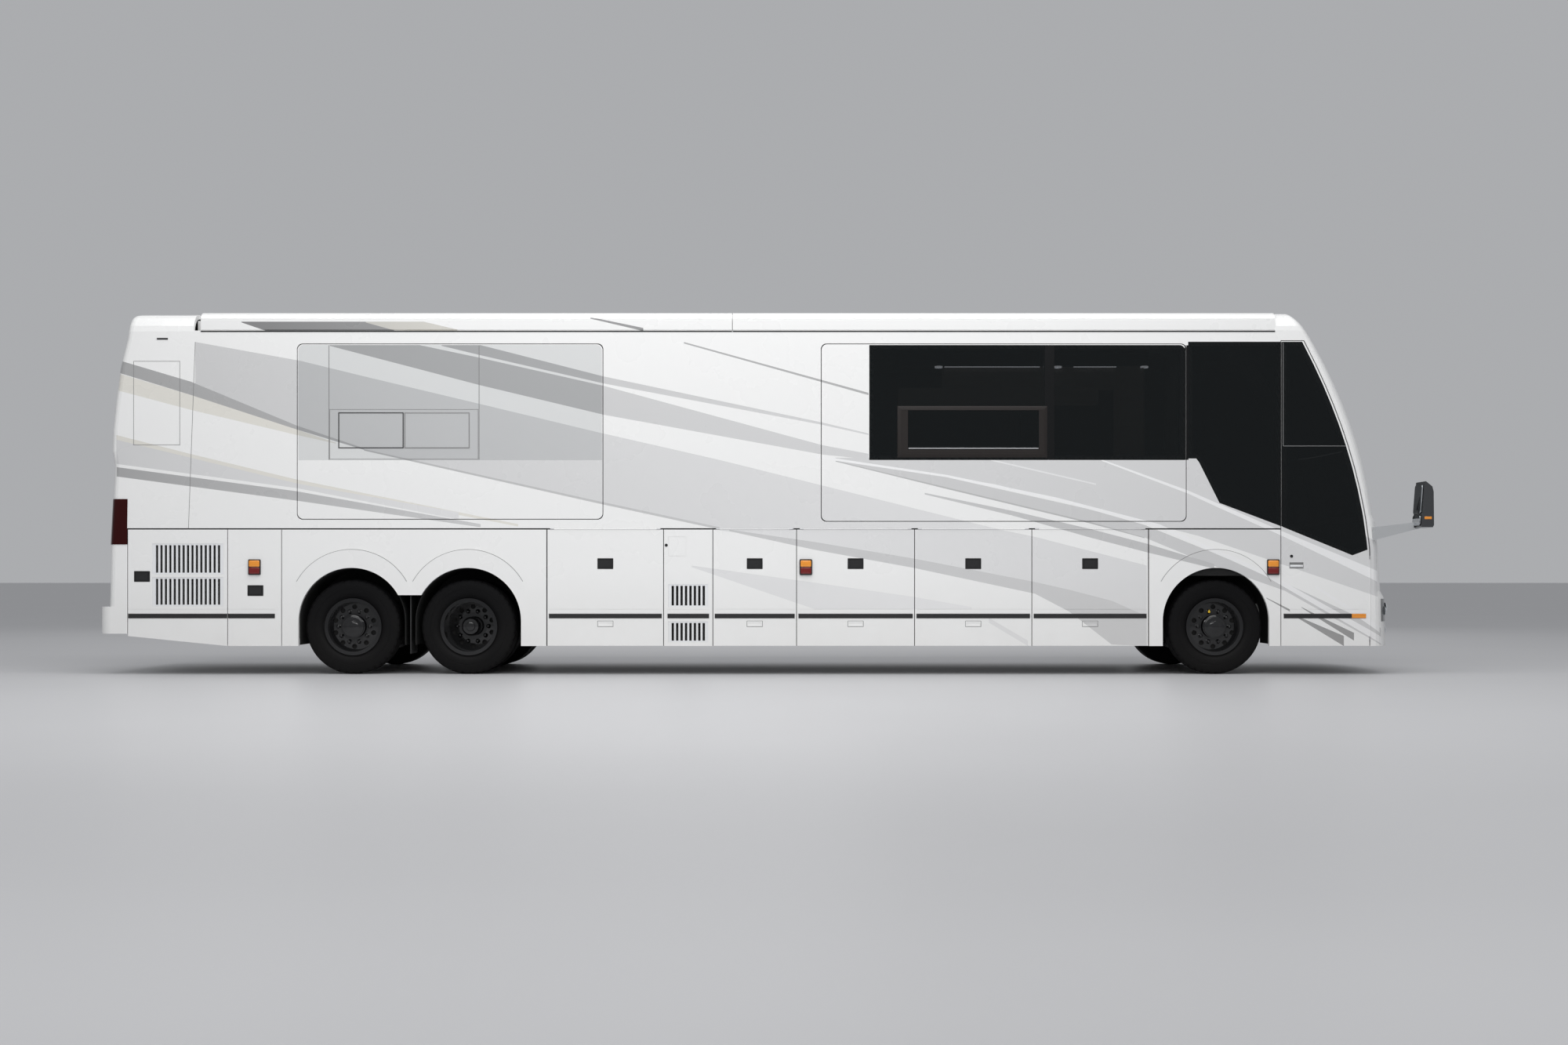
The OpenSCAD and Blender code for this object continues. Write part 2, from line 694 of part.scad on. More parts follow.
// Opening over the wheels at the given places, open between a pair below the bridge
module arches(xs) {
    for (x = xs) arch(x);
    if (len(xs) > 1) rect(min(xs), 0, max(xs), bridge_z);
}

// Raised crescents that stand out most at their tops and run out into the panel at their feet
module flares(xs) {
    top_z = flare_z + flare_r;
    length = max(xs) - min(xs) + 2 * flare_r;
    intersection() {
        side_plate(flare_t + flare_root, -hw - flare_t) difference() {
            for (x = xs) translate([x, flare_z]) circle(flare_r);
            arches(xs);
        }
        translate([min(xs) - flare_r, -hw, 0]) rotate([90, 0, 90]) linear_extrude(length)
            polygon([[flare_root, flare_foot_z], [0, flare_foot_z], [-flare_t, top_z], [flare_root, top_z]]);
    }
}

// A panel with its wheel opening and the flare over that
module arch_panel(xs) {
    side_plate(panel_t) difference() {
        children();
        arches(xs);
    }
    flares(xs);
}

// Groove for the dark strip along the skirt, with the crease above it
module strip(x0, x1) {
    side_plate(strip_d + 1, -hw - 1) rect(x0, strip_z, x1, strip_z + strip_h);
    side_plate(crease_d + 1, -hw - 1) rect(x0, crease_z, x1, crease_z + crease_h);
}

module latch_press(x, z, w, h) {
    side_plate(press_d + 1, -hw - 1) rounded(x - w / 2, z - h / 2, x + w / 2, z + h / 2, press_r);
}

// Outline groove of a small service hatch
module hatch_groove(x0, z0, x1, z1) {
    groove = 4;
    side_plate(crease_d + 1, -hw - 1) difference() {
        rect(x0, z0, x1, z1);
        rect(x0 + groove, z0 + groove, x1 - groove, z1 - groove);
    }
}

// Fixed panels behind the rear arches: [rear end, front end]
rear_panels = [[rear_corner_x + gap, service_x], [service_x + gap, arch_x0]];
vent_panel = [bay_x[vent_stations[0]] + gap / 2, bay_x[vent_stations[1]] - gap / 2];

module grille_hole(g) {
    side_plate(panel_t + 2, -hw - 1) rect(g[0], g[2], g[1], g[3]);
}

module lower_panels_right(left) {
    front_x0 = bay_x[6] + gap;
    low_top = cab_wall_z - gap;
    // Corner panel with the radiator grilles, and the service panel
    difference() {
        for (p = rear_panels) side_plate(panel_t)
            polygon([[p[0], skirt(p[0])], [p[1], skirt(p[1])], [p[1], door_top_z], [p[0], door_top_z]]);
        for (i = [0, 1]) grille_hole(grilles[i]);
        strip(rear_panels[0][0], arch_x0 - 67);
        latch_press(rear_corner_x + 157, belt_z - 505, latch_w, latch_h);
        latch_press(arch_x0 - 274, 888, latch_w, latch_h);
    }
    // Panel over the rear wheels
    arch_panel([tag_x, drive_x]) rect(arch_x0 + gap, skirt_z, bay_x[0] - gap, door_top_z);
    // Vent panel between the luggage doors, with a small hatch
    difference() {
        side_plate(panel_t) rect(vent_panel[0], skirt_z, vent_panel[1], door_top_z);
        for (i = [2, 3]) grille_hole(grilles[i]);
        strip(vent_panel[0] + 36, vent_panel[1] - 36);
        hatch_groove(vent_x[0], belt_z - 290, vent_x[0] + 191, belt_z - 82);
    }
    // Panel over the front wheel; on the left it runs on to the front shell
    difference() {
        arch_panel([front_axle_x]) {
            rect(front_x0, skirt_z, wall_end_x, door_top_z);
            if (left) polygon(concat([[front_x0, skirt_z]], pillar_edge(skirt_z, low_top, fit),
                [[front_x0, low_top]]));
        }
        if (left) strip(entry_x0 + 30, pillar_x0 - 30);
    }
}

module lower_panels() {
    color("white") for (left = [false, true]) handed(left) lower_panels_right(left);
}

module grille(g) {
    c = glass_fit;
    n = floor((g[1] - g[0] - 2 * frame_w) / slot_pitch);
    x0 = (g[0] + g[1] - n * slot_pitch) / 2;
    side_plate(grille_t, -hw + grille_inset) difference() {
        rect(g[0] + c, g[2] + c, g[1] - c, g[3] - c);
        for (i = [0:n - 1]) rect(x0 + (i + 0.5) * slot_pitch - slot_w / 2, g[2] + frame_w,
            x0 + (i + 0.5) * slot_pitch + slot_w / 2, g[3] - frame_w);
    }
}

module side_grilles() {
    color("gainsboro") for (left = [false, true], g = grilles) handed(left) grille(g);
}

// A hinge line along X: fixed knuckles and pin, or the moving barrel
knuckle_len = 40;
hinge_inset = 30;
leaf_t = 4;
leaf_h = 8;
play = 1;

module hinge_pin(length, reach = hinge_gap / 2) {
    bar_x(pin_r, 0, length);
    for (x = [0, length - knuckle_len]) {
        bar_x(barrel_r, x, x + knuckle_len);
        block([x, -leaf_t / 2, min(0, reach)], [x + knuckle_len, leaf_t, max(0, reach)]);
    }
}

module hinge_barrel(length, reach = -hinge_gap / 2 - leaf_h) {
    x0 = knuckle_len + play;
    x1 = length - knuckle_len - play;
    difference() {
        union() {
            bar_x(barrel_r, x0, x1);
            block([x0, 0, min(0, reach)], [x1, leaf_t, max(0, reach)]);
        }
        bar_x(pin_r + run_fit, 0, length);
    }
}

function door_x0(d) = bay_x[d[0]] + gap / 2;
function door_x1(d) = bay_x[d[1]] - gap / 2;
function door_hinge(d) = door_x1(d) - door_x0(d) - 2 * hinge_inset;

// The round-cornered base of a side lamp, from x0 forward
module lamp_base(x0) {
    side_plate(lamp_t, -hw - lamp_t)
        rounded(x0, lamp_z - lamp_h / 2, x0 + lamp_w, lamp_z + lamp_h / 2, lamp_r);
}

module bay_door(d) {
    x0 = door_x0(d);
    x1 = door_x1(d);
    mid = (x0 + x1) / 2;
    color("white") {
        difference() {
            side_plate(door_t) rect(x0, skirt_z + 2, x1, door_top_z);
            strip(x0 + 15, x1 - 15);
            latch_press(mid, latch_z, latch_w, latch_h);
            latch_press(mid, pull_z, latch_w, pull_h);
        }
        translate([x0 + hinge_inset, -hw, belt_z]) hinge_barrel(door_hinge(d));
        if (d[2]) lamp_base(x0 + 30);
    }
}

// Entry door

entry_top = wall_top_z - gap;
entry_hinge_z = [skirt_z + 60, pillar_z - 60];
entry_hinge_len = entry_hinge_z[1] - entry_hinge_z[0];
entry_latch = [entry_x0 + 161, belt_z - 388, 150, 66];

module entry_outline() {
    polygon(concat([[entry_x0, skirt_z + 2]], pillar_edge(skirt_z + 2, entry_top, hinge_gap - 1),
        [[entry_x0, entry_top]]));
}

module door_window() {
    pillar_glass(entry_x0 + 12, 30);
}

// The entry door's hinge stands upright: its own X runs up, its own Z to the rear
module at_entry_hinge() {
    translate([hinge_x, -hw, entry_hinge_z[0]]) rotate([0, -90, 0]) children();
}

module entry_door() {
    color("white") {
        difference() {
            side_plate(wall_t) entry_outline();
            glazed(wall_t) door_window();
            strip(entry_x0 + 25, hinge_x - 40);
            latch_press(entry_latch[0], entry_latch[1], entry_latch[2], entry_latch[3]);
        }
        at_entry_hinge() hinge_barrel(entry_hinge_len, hinge_gap / 2 + leaf_h);
    }
}

module entry_glass() {
    color([0.05, 0.06, 0.07, 0.6]) pane() door_window();
}

// Engine door at the rear

engine_x = -(tail_x(engine_high) - 10);
engine_half = (hw - shell_t) * plan(engine_angle, tail_power)[0] - 14;
engine_hinge_z = engine_high - hinge_gap / 2;
engine_hinge_len = 2 * (engine_half - hinge_inset);
louvre_pitch = 55;
louvre_h = 22;
louvre_count = 6;
louvre_z0 = engine_high - 440;

module at_engine_hinge() {
    translate([engine_x, engine_half - hinge_inset, engine_hinge_z]) rotate([0, 0, -90]) children();
}

module engine_door() {
    louvre_y = engine_half - 260;
    color("white") {
        difference() {
            block([engine_x, -engine_half, engine_low + gap],
                [engine_x + door_t, engine_half, engine_high - hinge_gap]);
            for (i = [0:louvre_count - 1]) let (z = louvre_z0 + i * louvre_pitch)
                block([engine_x - 1, -louvre_y, z], [engine_x + door_t + 1, louvre_y, z + louvre_h]);
            block([engine_x - 1, -90, engine_low + 60], [engine_x + press_d, 90, engine_low + 120]);
        }
        at_engine_hinge() hinge_barrel(engine_hinge_len);
    }
}

module door_hinges() {
    color("silver") {
        for (left = [false, true], d = bay_doors) handed(left)
            translate([door_x0(d) + hinge_inset, -hw, belt_z]) hinge_pin(door_hinge(d));
        at_entry_hinge() hinge_pin(entry_hinge_len, -(hinge_gap / 2 - 1 - fit));
        at_engine_hinge() hinge_pin(engine_hinge_len);
    }
}

// Roof

crown = 40;
case_w = 145;
shelf_y = hw - case_w;
shelf_z = roof_z - 202;
roof_edge_z = roof_z - 80;
roof_t = 45;

module roof() {
    r = (pow(shelf_y, 2) + pow(crown, 2)) / (2 * crown);
    function arc(w, z, n) = [for (i = [0:n]) let (y = w - 2 * w * i / n)
        [y, z + sqrt(r * r - y * y) - r + crown]];
    color("white") translate([rear_joint_x, 0, 0]) rotate([90, 0, 90]) linear_extrude(roof_x1 - rear_joint_x)
        polygon(concat(
            [[hw, wall_top_z], [hw, shelf_z], [shelf_y, shelf_z]], arc(shelf_y, roof_edge_z, 12),
            [[-shelf_y, shelf_z], [-hw, shelf_z], [-hw, wall_top_z], [-hw + wall_t, wall_top_z],
                [-hw + wall_t, shelf_z - roof_t], [-shelf_y + roof_t, shelf_z - roof_t]],
            [for (p = arc(shelf_y - roof_t, roof_edge_z - roof_t, 12)) [-p[0], p[1]]],
            [[shelf_y - roof_t, shelf_z - roof_t], [hw - wall_t, shelf_z - roof_t],
                [hw - wall_t, wall_top_z]]));
}

// Awning case in section, from the shelf up: [inset from the side, z]
case_groove_z = roof_z - 84;
case_section = [[case_w, shelf_z], [12, shelf_z], [12, shelf_z + 8], [3, shelf_z + 12],
    [3, case_groove_z - 4], [12, case_groove_z], [12, case_groove_z + 6], [8, case_groove_z + 10],
    [30, case_groove_z + 52], [70, roof_z - 10], [110, roof_z], [case_w, roof_z]];
case_gap = 6;

module awning_cases() {
    spans = [[case_x0, case_joint_x - case_gap / 2], [case_joint_x + case_gap / 2, roof_x1]];
    color("white") for (left = [false, true], span = spans) handed(left)
        translate([span[0], 0, 0]) rotate([90, 0, 90]) linear_extrude(span[1] - span[0])
            polygon([for (p = case_section) [p[0] - hw, p[1]]]);
}

// Front and rear shells

module front_cap() {
    levels = nose_levels;
    cols = len(nose_angles) + 2;
    function in_lamp(t) = t >= lamp_angles[0] && t < lamp_angles[1]
        || t >= -lamp_angles[1] && t < -lamp_angles[0];
    function lamp_cell(z, t) = z >= lamp_low && z < lamp_high && in_lamp(t);
    function glass_cell(z, t) = z >= glass_low && z < glass_high && t >= -screen_angle && t < screen_angle;
    function cell(i, j) = j == 0 || j == cols - 2 ? levels[i] >= wall_top_z
        : !lamp_cell(levels[i], nose_angles[j - 1]) && !glass_cell(levels[i], nose_angles[j - 1]);
    color("white") grid_shell(
        concat([for (z = levels) cap_row(z, 0)], [flat_top(roof_x1, roof_z, 0, cols - 1)]),
        concat([for (z = levels) cap_row(z, shell_t)], [flat_top(roof_x1, roof_z, shell_t, cols - 1)]),
        concat([for (i = [0:len(levels) - 2]) [for (j = [0:cols - 2]) cell(i, j)]],
            [[for (j = [0:cols - 2]) true]]));
}

module windshield() {
    angles = between(nose_angles, -screen_angle, screen_angle);
    inset = 2;
    color([0.05, 0.06, 0.07, 0.6])
        for (span = [[glass_low, glass_split[0]], [glass_split[1], glass_high]])
            nose_patch(angles, between(nose_levels, span[0], span[1]), inset, inset + glass_t);
}

module headlamps() {
    proud = 4;
    color("lightcyan") for (span = [[-lamp_angles[1], -lamp_angles[0]], lamp_angles])
        nose_patch(between(nose_angles, span[0], span[1]), between(nose_levels, lamp_low, lamp_high),
            -proud, shell_t - 6);
}

// Columns of the rear shell that a tail lamp takes, from the corner round to the back
lamp_cols = 6;

module rear_cap() {
    levels = tail_levels;
    cols = len(tail_angles) + 4;
    function lamp_col(j) = j >= 1 && j <= lamp_cols || j >= cols - 2 - lamp_cols && j < cols - 2;
    function lamp_cell(z, j) = z >= tail_lamp_low && z < tail_lamp_high && lamp_col(j);
    function door_cell(z, t) = z >= engine_low && z < engine_high && t >= -engine_angle && t < engine_angle;
    function cell(i, j) = j == 0 || j == cols - 2 ? levels[i] >= wall_z
        : !lamp_cell(levels[i], j) && !(j > 1 && j < cols - 3 && door_cell(levels[i], tail_angles[j - 2]));
    color("white") rotate([0, 0, 180]) grid_shell(
        concat([for (z = levels) tail_row(z, 0)], [flat_top(-rear_joint_x, tail_top_z, 0, cols - 1)]),
        concat([for (z = levels) tail_row(z, shell_t)],
            [flat_top(-rear_joint_x, tail_top_z, shell_t, cols - 1)]),
        concat([for (i = [0:len(levels) - 2]) [for (j = [0:cols - 2]) cell(i, j)]],
            [[for (j = [0:cols - 2]) true]]));
}

module tail_lamps() {
    levels = between(tail_levels, tail_lamp_low, tail_lamp_high);
    proud = 5;
    function part(z, d, right) = let (r = tail_row(z, d), n = len(r))
        [for (j = [0:lamp_cols]) r[right ? j + 1 : n - 2 - lamp_cols + j]];
    color("darkred") rotate([0, 0, 180]) for (right = [true, false])
        grid_shell([for (z = levels) part(z, -proud, right)], [for (z = levels) part(z, shell_t - 8, right)],
            [for (i = [0:len(levels) - 2]) [for (j = [0:lamp_cols - 1]) true]]);
}

tow_r = 21;
tow_y = 420;
tow_z = 570;

module rear_bumper() {
    x0 = rear_end_x;
    x1 = rear_corner_x;
    wall = 80;
    back = 130;
    module plan_outline(inset) {
        r = bumper_r;
        translate([x0 + inset, -hw + inset + r]) square([x1 - x0 - inset + 1, body_w - 2 * inset - 2 * r]);
        translate([x0 + inset + r, -hw + inset]) square([x1 - x0 - inset - r + 1, body_w - 2 * inset]);
        for (s = [-1, 1]) translate([x0 + inset + r, s * (hw - inset - r)]) circle(r);
    }
    color("white") difference() {
        translate([0, 0, bumper_z[0]]) linear_extrude(bumper_z[1] - bumper_z[0]) difference() {
            plan_outline(0);
            translate([back, 0]) plan_outline(wall);
            translate([x1, -body_w]) square([2 * back, 2 * body_w]);
        }
        // Holes for the towing eyes, through the back wall
        for (y = [-tow_y, tow_y]) translate([0, y, tow_z]) bar_x(tow_r, x0 - 1, x0 + wall + back + 1);
    }
}

module marker_lamps() {
    color("orange") for (left = [false, true], x = side_lamps) handed(left) lamp_base(x - lamp_w / 2);
}

// Mirrors on arms that reach forward from the front shell: [from the bumper's face, z]
mirror_arm = [[-309, 1420], [-309, 1560], [121, 1610], [171, 1640], [231, 1560]];
mirror_head = [[140, 1552], [262, 1552], [276, 1580], [272, 1930], [258, 1985], [190, 2040], [176, 2036]];

module mirrors() {
    color("dimgray") for (left = [false, true]) handed(left) translate([nose_tip_x, 0, 0]) {
        side_plate(70, -hw - 15) polygon(mirror_arm);
        side_plate(270, -hw - 205) polygon(mirror_head);
    }
}

// Cab

seat_y = hw - 595;
wheel_centre = [hinge_x - 643, seat_y, 1760];
column_tilt = 35;
column_len = 420;
hub_h = 12;
dash_section = [[-483, cab_top], [-113, cab_top], [-53, 1480], [-73, 1610], [-363, 1590], [-483, 1430]];

module dashboard() {
    y0 = step_y1 + 100;
    y1 = hw - 115;
    color("dimgray") {
        translate([hinge_x, y1, 0]) rotate([90, 0, 0]) linear_extrude(y1 - y0) polygon(dash_section);
        translate(wheel_centre) rotate([0, -column_tilt, 0]) translate([0, 0, -column_len])
            cylinder(r = 35, h = column_len - run_fit - hub_h);
    }
}

module steering_wheel() {
    rim = 220;
    color("black") translate(wheel_centre) rotate([0, -column_tilt, 0]) {
        rotate_extrude() translate([rim, 0]) circle(15);
        translate([0, 0, -hub_h]) cylinder(r = 60, h = 2 * hub_h);
        for (a = [0, 120, 240]) rotate([0, 0, a]) block([40, -14, -6], [rim - 5, 14, 6]);
    }
}

// A seat in side view, on its pedestal: cushion, back and head rest
seat_section = [[-180, 0], [180, 0], [140, 330], [280, 340], [300, 440], [260, 480], [-120, 470],
    [-210, 1120], [-230, 1290], [-330, 1290], [-340, 1120], [-270, 400], [-260, 340], [-140, 330]];
seat_w = 520;
seat_places = [[entry_x0 - 353, seat_y], [entry_x0 - 503, -seat_y - 20]];

module cab_seats() {
    color("dimgray") for (s = seat_places) translate([s[0], s[1] + seat_w / 2, cab_top]) rotate([90, 0, 0])
        linear_extrude(seat_w) polygon(seat_section);
}

// Slide-out rooms

// The box behind a room's face stands in from the face's ends and top
box_inset = 40;
box_drop = 5;

module room(r) {
    x0 = r[0] + box_inset;
    x1 = r[1] - box_inset;
    z1 = r[3] - box_drop;
    color("white") difference() {
        union() {
            side_plate(wall_t) room_outline(r);
            difference() {
                side_plate(room_depth - wall_t + 1, -hw + wall_t - 1) rect(x0, r[2], x1, z1);
                side_plate(room_depth, -hw + wall_t - 2)
                    rect(x0 + room_t, r[2] + room_t, x1 - room_t, z1 - room_t);
            }
        }
        glazed(wall_t) children();
    }
}

// Panes in the rooms: [rear end, front end]
pane_margin = 8;
front_panes = [[front_room[0] + 506, front_room[1] - 1463],
    [front_room[1] - 1457, front_room[1] - pane_margin]];
rear_split = [rear_room[0] + 333, rear_room[1] - 1311];
rear_panes = [[rear_room[0] + pane_margin, rear_split[0] - 3], [rear_split[0] + 3, rear_split[1] - 3],
    [rear_split[1] + 3, rear_room[1] - pane_margin]];

// One pane of a room, kept inside the round corners of the room's face
module room_pane(room, p) {
    intersection() {
        rect(p[0], sill_z - 16, p[1], room[3] - pane_margin);
        room_outline(room, -pane_margin);
    }
}

module front_room() {
    room(front_room) for (p = front_panes) room_pane(front_room, p);
}

module rear_room() {
    room(rear_room) for (p = rear_panes) room_pane(rear_room, p);
}

module front_room_glass() {
    color([0.05, 0.06, 0.07, 0.6]) pane() for (p = front_panes) room_pane(front_room, p);
}

module rear_room_glass() {
    color([0.5, 0.5, 0.5, 0.6]) pane() for (p = rear_panes) room_pane(rear_room, p);
}

module room_rails(r) {
    y0 = -hw + wall_t + 20;
    for (x = [r[0] + 400, r[1] - 460])
        block([x, y0, deck_z + deck_t], [x + 60, y0 + room_depth + 130, r[2] - run_fit]);
}

// Galley units: [rear end, front end, depth, top]
galley_units = [[front_room[0] + 777, front_room[1] - 1090, 600, sill_z - 50],
    [front_room[1] - 1030, front_room[1] - 390, 560, sill_z - 110]];

module galley() {
    y = -hw + wall_t;
    color("dimgray") for (u = galley_units)
        block([u[0], y, front_room[2] + room_t], [u[1], y + u[2], u[3]]);
}

bay_frame();
deck();
cab_floor();
chassis_rails();
engine_block();
front_axle();
drive_axle();
tag_axle();
side_wall_right();
side_wall_left();
lower_panels();
side_grilles();
roof();
awning_cases();
front_cap();
rear_cap();
rear_bumper();
windshield();
side_windows();
headlamps();
tail_lamps();
marker_lamps();
mirrors();
door_hinges();
dashboard();
cab_seats();
steering_wheel();
knuckle();  // knuckle_right
mirror([0, 1, 0]) knuckle();  // knuckle_left
at_wheel(front_axle_x, false) rim_single();  // rim_front_right
at_wheel(front_axle_x, true) rim_single();  // rim_front_left
at_wheel(front_axle_x, false) tyre();  // tyre_front_right
at_wheel(front_axle_x, true) tyre();  // tyre_front_left
at_wheel(drive_x, false) rim_twin();  // rim_drive_right
at_wheel(drive_x, true) rim_twin();  // rim_drive_left
at_wheel(drive_x, false) twin_tyres();  // tyres_drive_right
at_wheel(drive_x, true) twin_tyres();  // tyres_drive_left
at_wheel(tag_x, false) rim_single();  // rim_tag_right
at_wheel(tag_x, true) rim_single();  // rim_tag_left
at_wheel(tag_x, false) tyre();  // tyre_tag_right
at_wheel(tag_x, true) tyre();  // tyre_tag_left
entry_door();
entry_glass();
engine_door();
front_room();
front_room_glass();
galley();
rear_room();
rear_room_glass();
bay_door(bay_doors[0]);  // bay_door_right_1
bay_door(bay_doors[1]);  // bay_door_right_2
bay_door(bay_doors[2]);  // bay_door_right_3
bay_door(bay_doors[3]);  // bay_door_right_4
bay_door(bay_doors[4]);  // bay_door_right_5
mirror([0, 1, 0]) bay_door(bay_doors[0]);  // bay_door_left_1
mirror([0, 1, 0]) bay_door(bay_doors[1]);  // bay_door_left_2
mirror([0, 1, 0]) bay_door(bay_doors[2]);  // bay_door_left_3
mirror([0, 1, 0]) bay_door(bay_doors[3]);  // bay_door_left_4
mirror([0, 1, 0]) bay_door(bay_doors[4]);  // bay_door_left_5
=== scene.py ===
# %% [markdown]
# # A three-axle motor coach
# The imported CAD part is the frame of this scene. It gives the coach's bodies and their joints, so every
# piece that is added here takes its place from the frame and rides on one of the bodies. Lengths are in
# metres, +X is forward, +Y is the coach's left side and +Z is up.

# %% Load the frame
import json
import math

import bpy
from mathutils import Matrix, Vector


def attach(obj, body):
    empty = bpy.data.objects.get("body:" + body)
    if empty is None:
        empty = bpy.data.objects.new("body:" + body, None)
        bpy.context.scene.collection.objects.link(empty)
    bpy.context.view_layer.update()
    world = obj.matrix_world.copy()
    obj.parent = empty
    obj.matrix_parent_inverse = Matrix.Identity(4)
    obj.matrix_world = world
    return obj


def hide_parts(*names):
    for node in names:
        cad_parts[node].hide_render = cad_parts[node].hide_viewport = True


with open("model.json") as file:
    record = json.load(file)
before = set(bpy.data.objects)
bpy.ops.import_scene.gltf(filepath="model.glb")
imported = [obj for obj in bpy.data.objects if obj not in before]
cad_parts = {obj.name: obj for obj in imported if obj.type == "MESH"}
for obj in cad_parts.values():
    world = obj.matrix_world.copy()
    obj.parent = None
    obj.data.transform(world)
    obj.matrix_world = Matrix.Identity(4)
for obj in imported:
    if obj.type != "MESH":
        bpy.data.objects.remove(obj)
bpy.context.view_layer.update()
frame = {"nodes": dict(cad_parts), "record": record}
nodes = frame["nodes"]

# %% [markdown]
# ## Stage, camera and light
# The coach stands side-on, so the camera looks straight along +Y from about 20 m away. Its height is that
# of the horizon in the photograph, and a small vertical shift gives the same framing without tilting the
# camera, which keeps upright edges upright. A pale floor and a large overhead lamp give soft studio light.

# %% Camera
CAMERA_PLACE = (0.224, -21.5, 1.04)
LENS_MM, LENS_SHIFT = 43.7, 0.0343
camera_data = bpy.data.cameras.new("side_camera")
camera_data.sensor_width = 36
camera_data.lens = LENS_MM
camera_data.shift_y = LENS_SHIFT
camera_data.clip_end = 300
camera = bpy.data.objects.new("side_camera", camera_data)
camera.location = CAMERA_PLACE
camera.rotation_euler = (math.radians(90), 0, 0)
bpy.context.scene.collection.objects.link(camera)
bpy.context.scene.camera = camera
bpy.context.scene.view_settings.view_transform = "Standard"
print("camera", tuple(camera.location))

# %% [markdown]
# Materials are made of shader nodes. A few short helpers keep their making readable: one adds a node and
# sets its inputs, one starts a material with its Principled shader, and one makes a node group with named
# sockets.


# %% Node helpers
def add_node(tree, kind, inputs=None, **settings):
    """A shader node with its settings and input values; an input given as a socket is linked."""
    node = tree.nodes.new(kind)
    for key, value in settings.items():
        setattr(node, key, value)
    for key, value in (inputs or {}).items():
        if isinstance(value, bpy.types.NodeSocket):
            tree.links.new(value, node.inputs[key])
        else:
            node.inputs[key].default_value = value
    return node


def maths(tree, operation, a, b=0.0, clamp=False):
    return add_node(tree, "ShaderNodeMath", {0: a, 1: b}, operation=operation, use_clamp=clamp).outputs[0]


def blend_colours(tree, factor, a, b, mode="MIX"):
    mix = add_node(tree, "ShaderNodeMix", {0: factor, 6: a, 7: b}, data_type="RGBA", blend_type=mode)
    return mix.outputs[2]


def new_material(name, **sockets):
    """A material and its Principled shader, with constant values on the shader's own sockets."""
    material = bpy.data.materials.new(name)
    material.use_nodes = True
    tree = material.node_tree
    shader = tree.nodes["Principled BSDF"]
    for key, value in sockets.items():
        shader.inputs[key.replace("_", " ")].default_value = value
    return material, tree, shader


def new_group(name, inputs, outputs):
    """A node group: inputs and outputs are name and socket type, with a default for each input."""
    tree = bpy.data.node_groups.new(name, "ShaderNodeTree")
    for socket, kind, default in inputs:
        made = tree.interface.new_socket(socket, in_out="INPUT", socket_type=kind)
        if default is not None:
            made.default_value = default
    for socket, kind in outputs:
        tree.interface.new_socket(socket, in_out="OUTPUT", socket_type=kind)
    return tree, tree.nodes.new("NodeGroupInput"), tree.nodes.new("NodeGroupOutput")


def use_group(tree, group, **inputs):
    named = {key.replace("_", " "): value for key, value in inputs.items()}
    return add_node(tree, "ShaderNodeGroup", named, node_tree=group)


def object_coords(tree):
    return tree.nodes.new("ShaderNodeTexCoord").outputs["Object"]


# %% [markdown]
# The floor is one large plane with a faint cloudiness. The sky is a plain grey that fills in the shadows.
# One lamp hangs overhead, one long strip draws a bright line in the dark wheels, and two fills light the
# sides without showing in the paint.

# %% Floor, sky and lamps
FLOOR_TONE = (0.56, 0.56, 0.57)
SKY_TONE, SHADOW_TONE = (0.60, 0.61, 0.63, 1), (0.55, 0.56, 0.58, 1)
SKY_STRENGTH = 0.68
bpy.ops.object.select_all(action="DESELECT")
bpy.ops.mesh.primitive_plane_add(size=600, location=(0, 0, -0.002))
floor = bpy.context.object
floor.name = "studio_floor"
floor_material, tree, shader = new_material("studio_floor", Roughness=0.42)
grain = add_node(tree, "ShaderNodeTexNoise", {"Vector": object_coords(tree), "Scale": 0.35, "Detail": 6.0})
tint = add_node(tree, "ShaderNodeMapRange", {0: grain.outputs[0], 3: 0.97, 4: 1.03}).outputs[0]
shade = add_node(tree, "ShaderNodeVectorMath", {0: FLOOR_TONE, "Scale": tint}, operation="SCALE")
tree.links.new(shade.outputs[0], shader.inputs["Base Color"])
floor.data.materials.append(floor_material)

world = bpy.data.worlds.new("studio")
bpy.context.scene.world = world
world.use_nodes = True
background = world.node_tree.nodes["Background"]
rays = add_node(world.node_tree, "ShaderNodeLightPath")
seen = maths(world.node_tree, "MAXIMUM", rays.outputs["Is Camera Ray"], rays.outputs["Is Glossy Ray"])
sky = blend_colours(world.node_tree, seen, SHADOW_TONE, SKY_TONE)
world.node_tree.links.new(sky, background.inputs["Color"])
background.inputs["Strength"].default_value = SKY_STRENGTH


def add_lamp(name, size, place, target, power, in_reflections=True):
    data = bpy.data.lights.new(name, "AREA")
    data.shape, data.size, data.size_y, data.energy = "RECTANGLE", size[0], size[1], power
    lamp = bpy.data.objects.new(name, data)
    lamp.location = place
    lamp.rotation_euler = (Vector(target) - Vector(place)).to_track_quat("-Z", "Y").to_euler()
    lamp.visible_glossy = in_reflections
    bpy.context.scene.collection.objects.link(lamp)


add_lamp("overhead", (18, 7), (0, -5, 11), (0, -1, 1), 960)
add_lamp("side_fill", (16, 5), (0, -19, 5), (0, 0, 1.8), 520, in_reflections=False)
add_lamp("strip", (12, 1.6), (-1, -11, 7), (0, 0, 0.8), 240)
add_lamp("far_fill", (16, 5), (0, 16, 7), (0, 0, 2), 620, in_reflections=False)
print("stage ready")

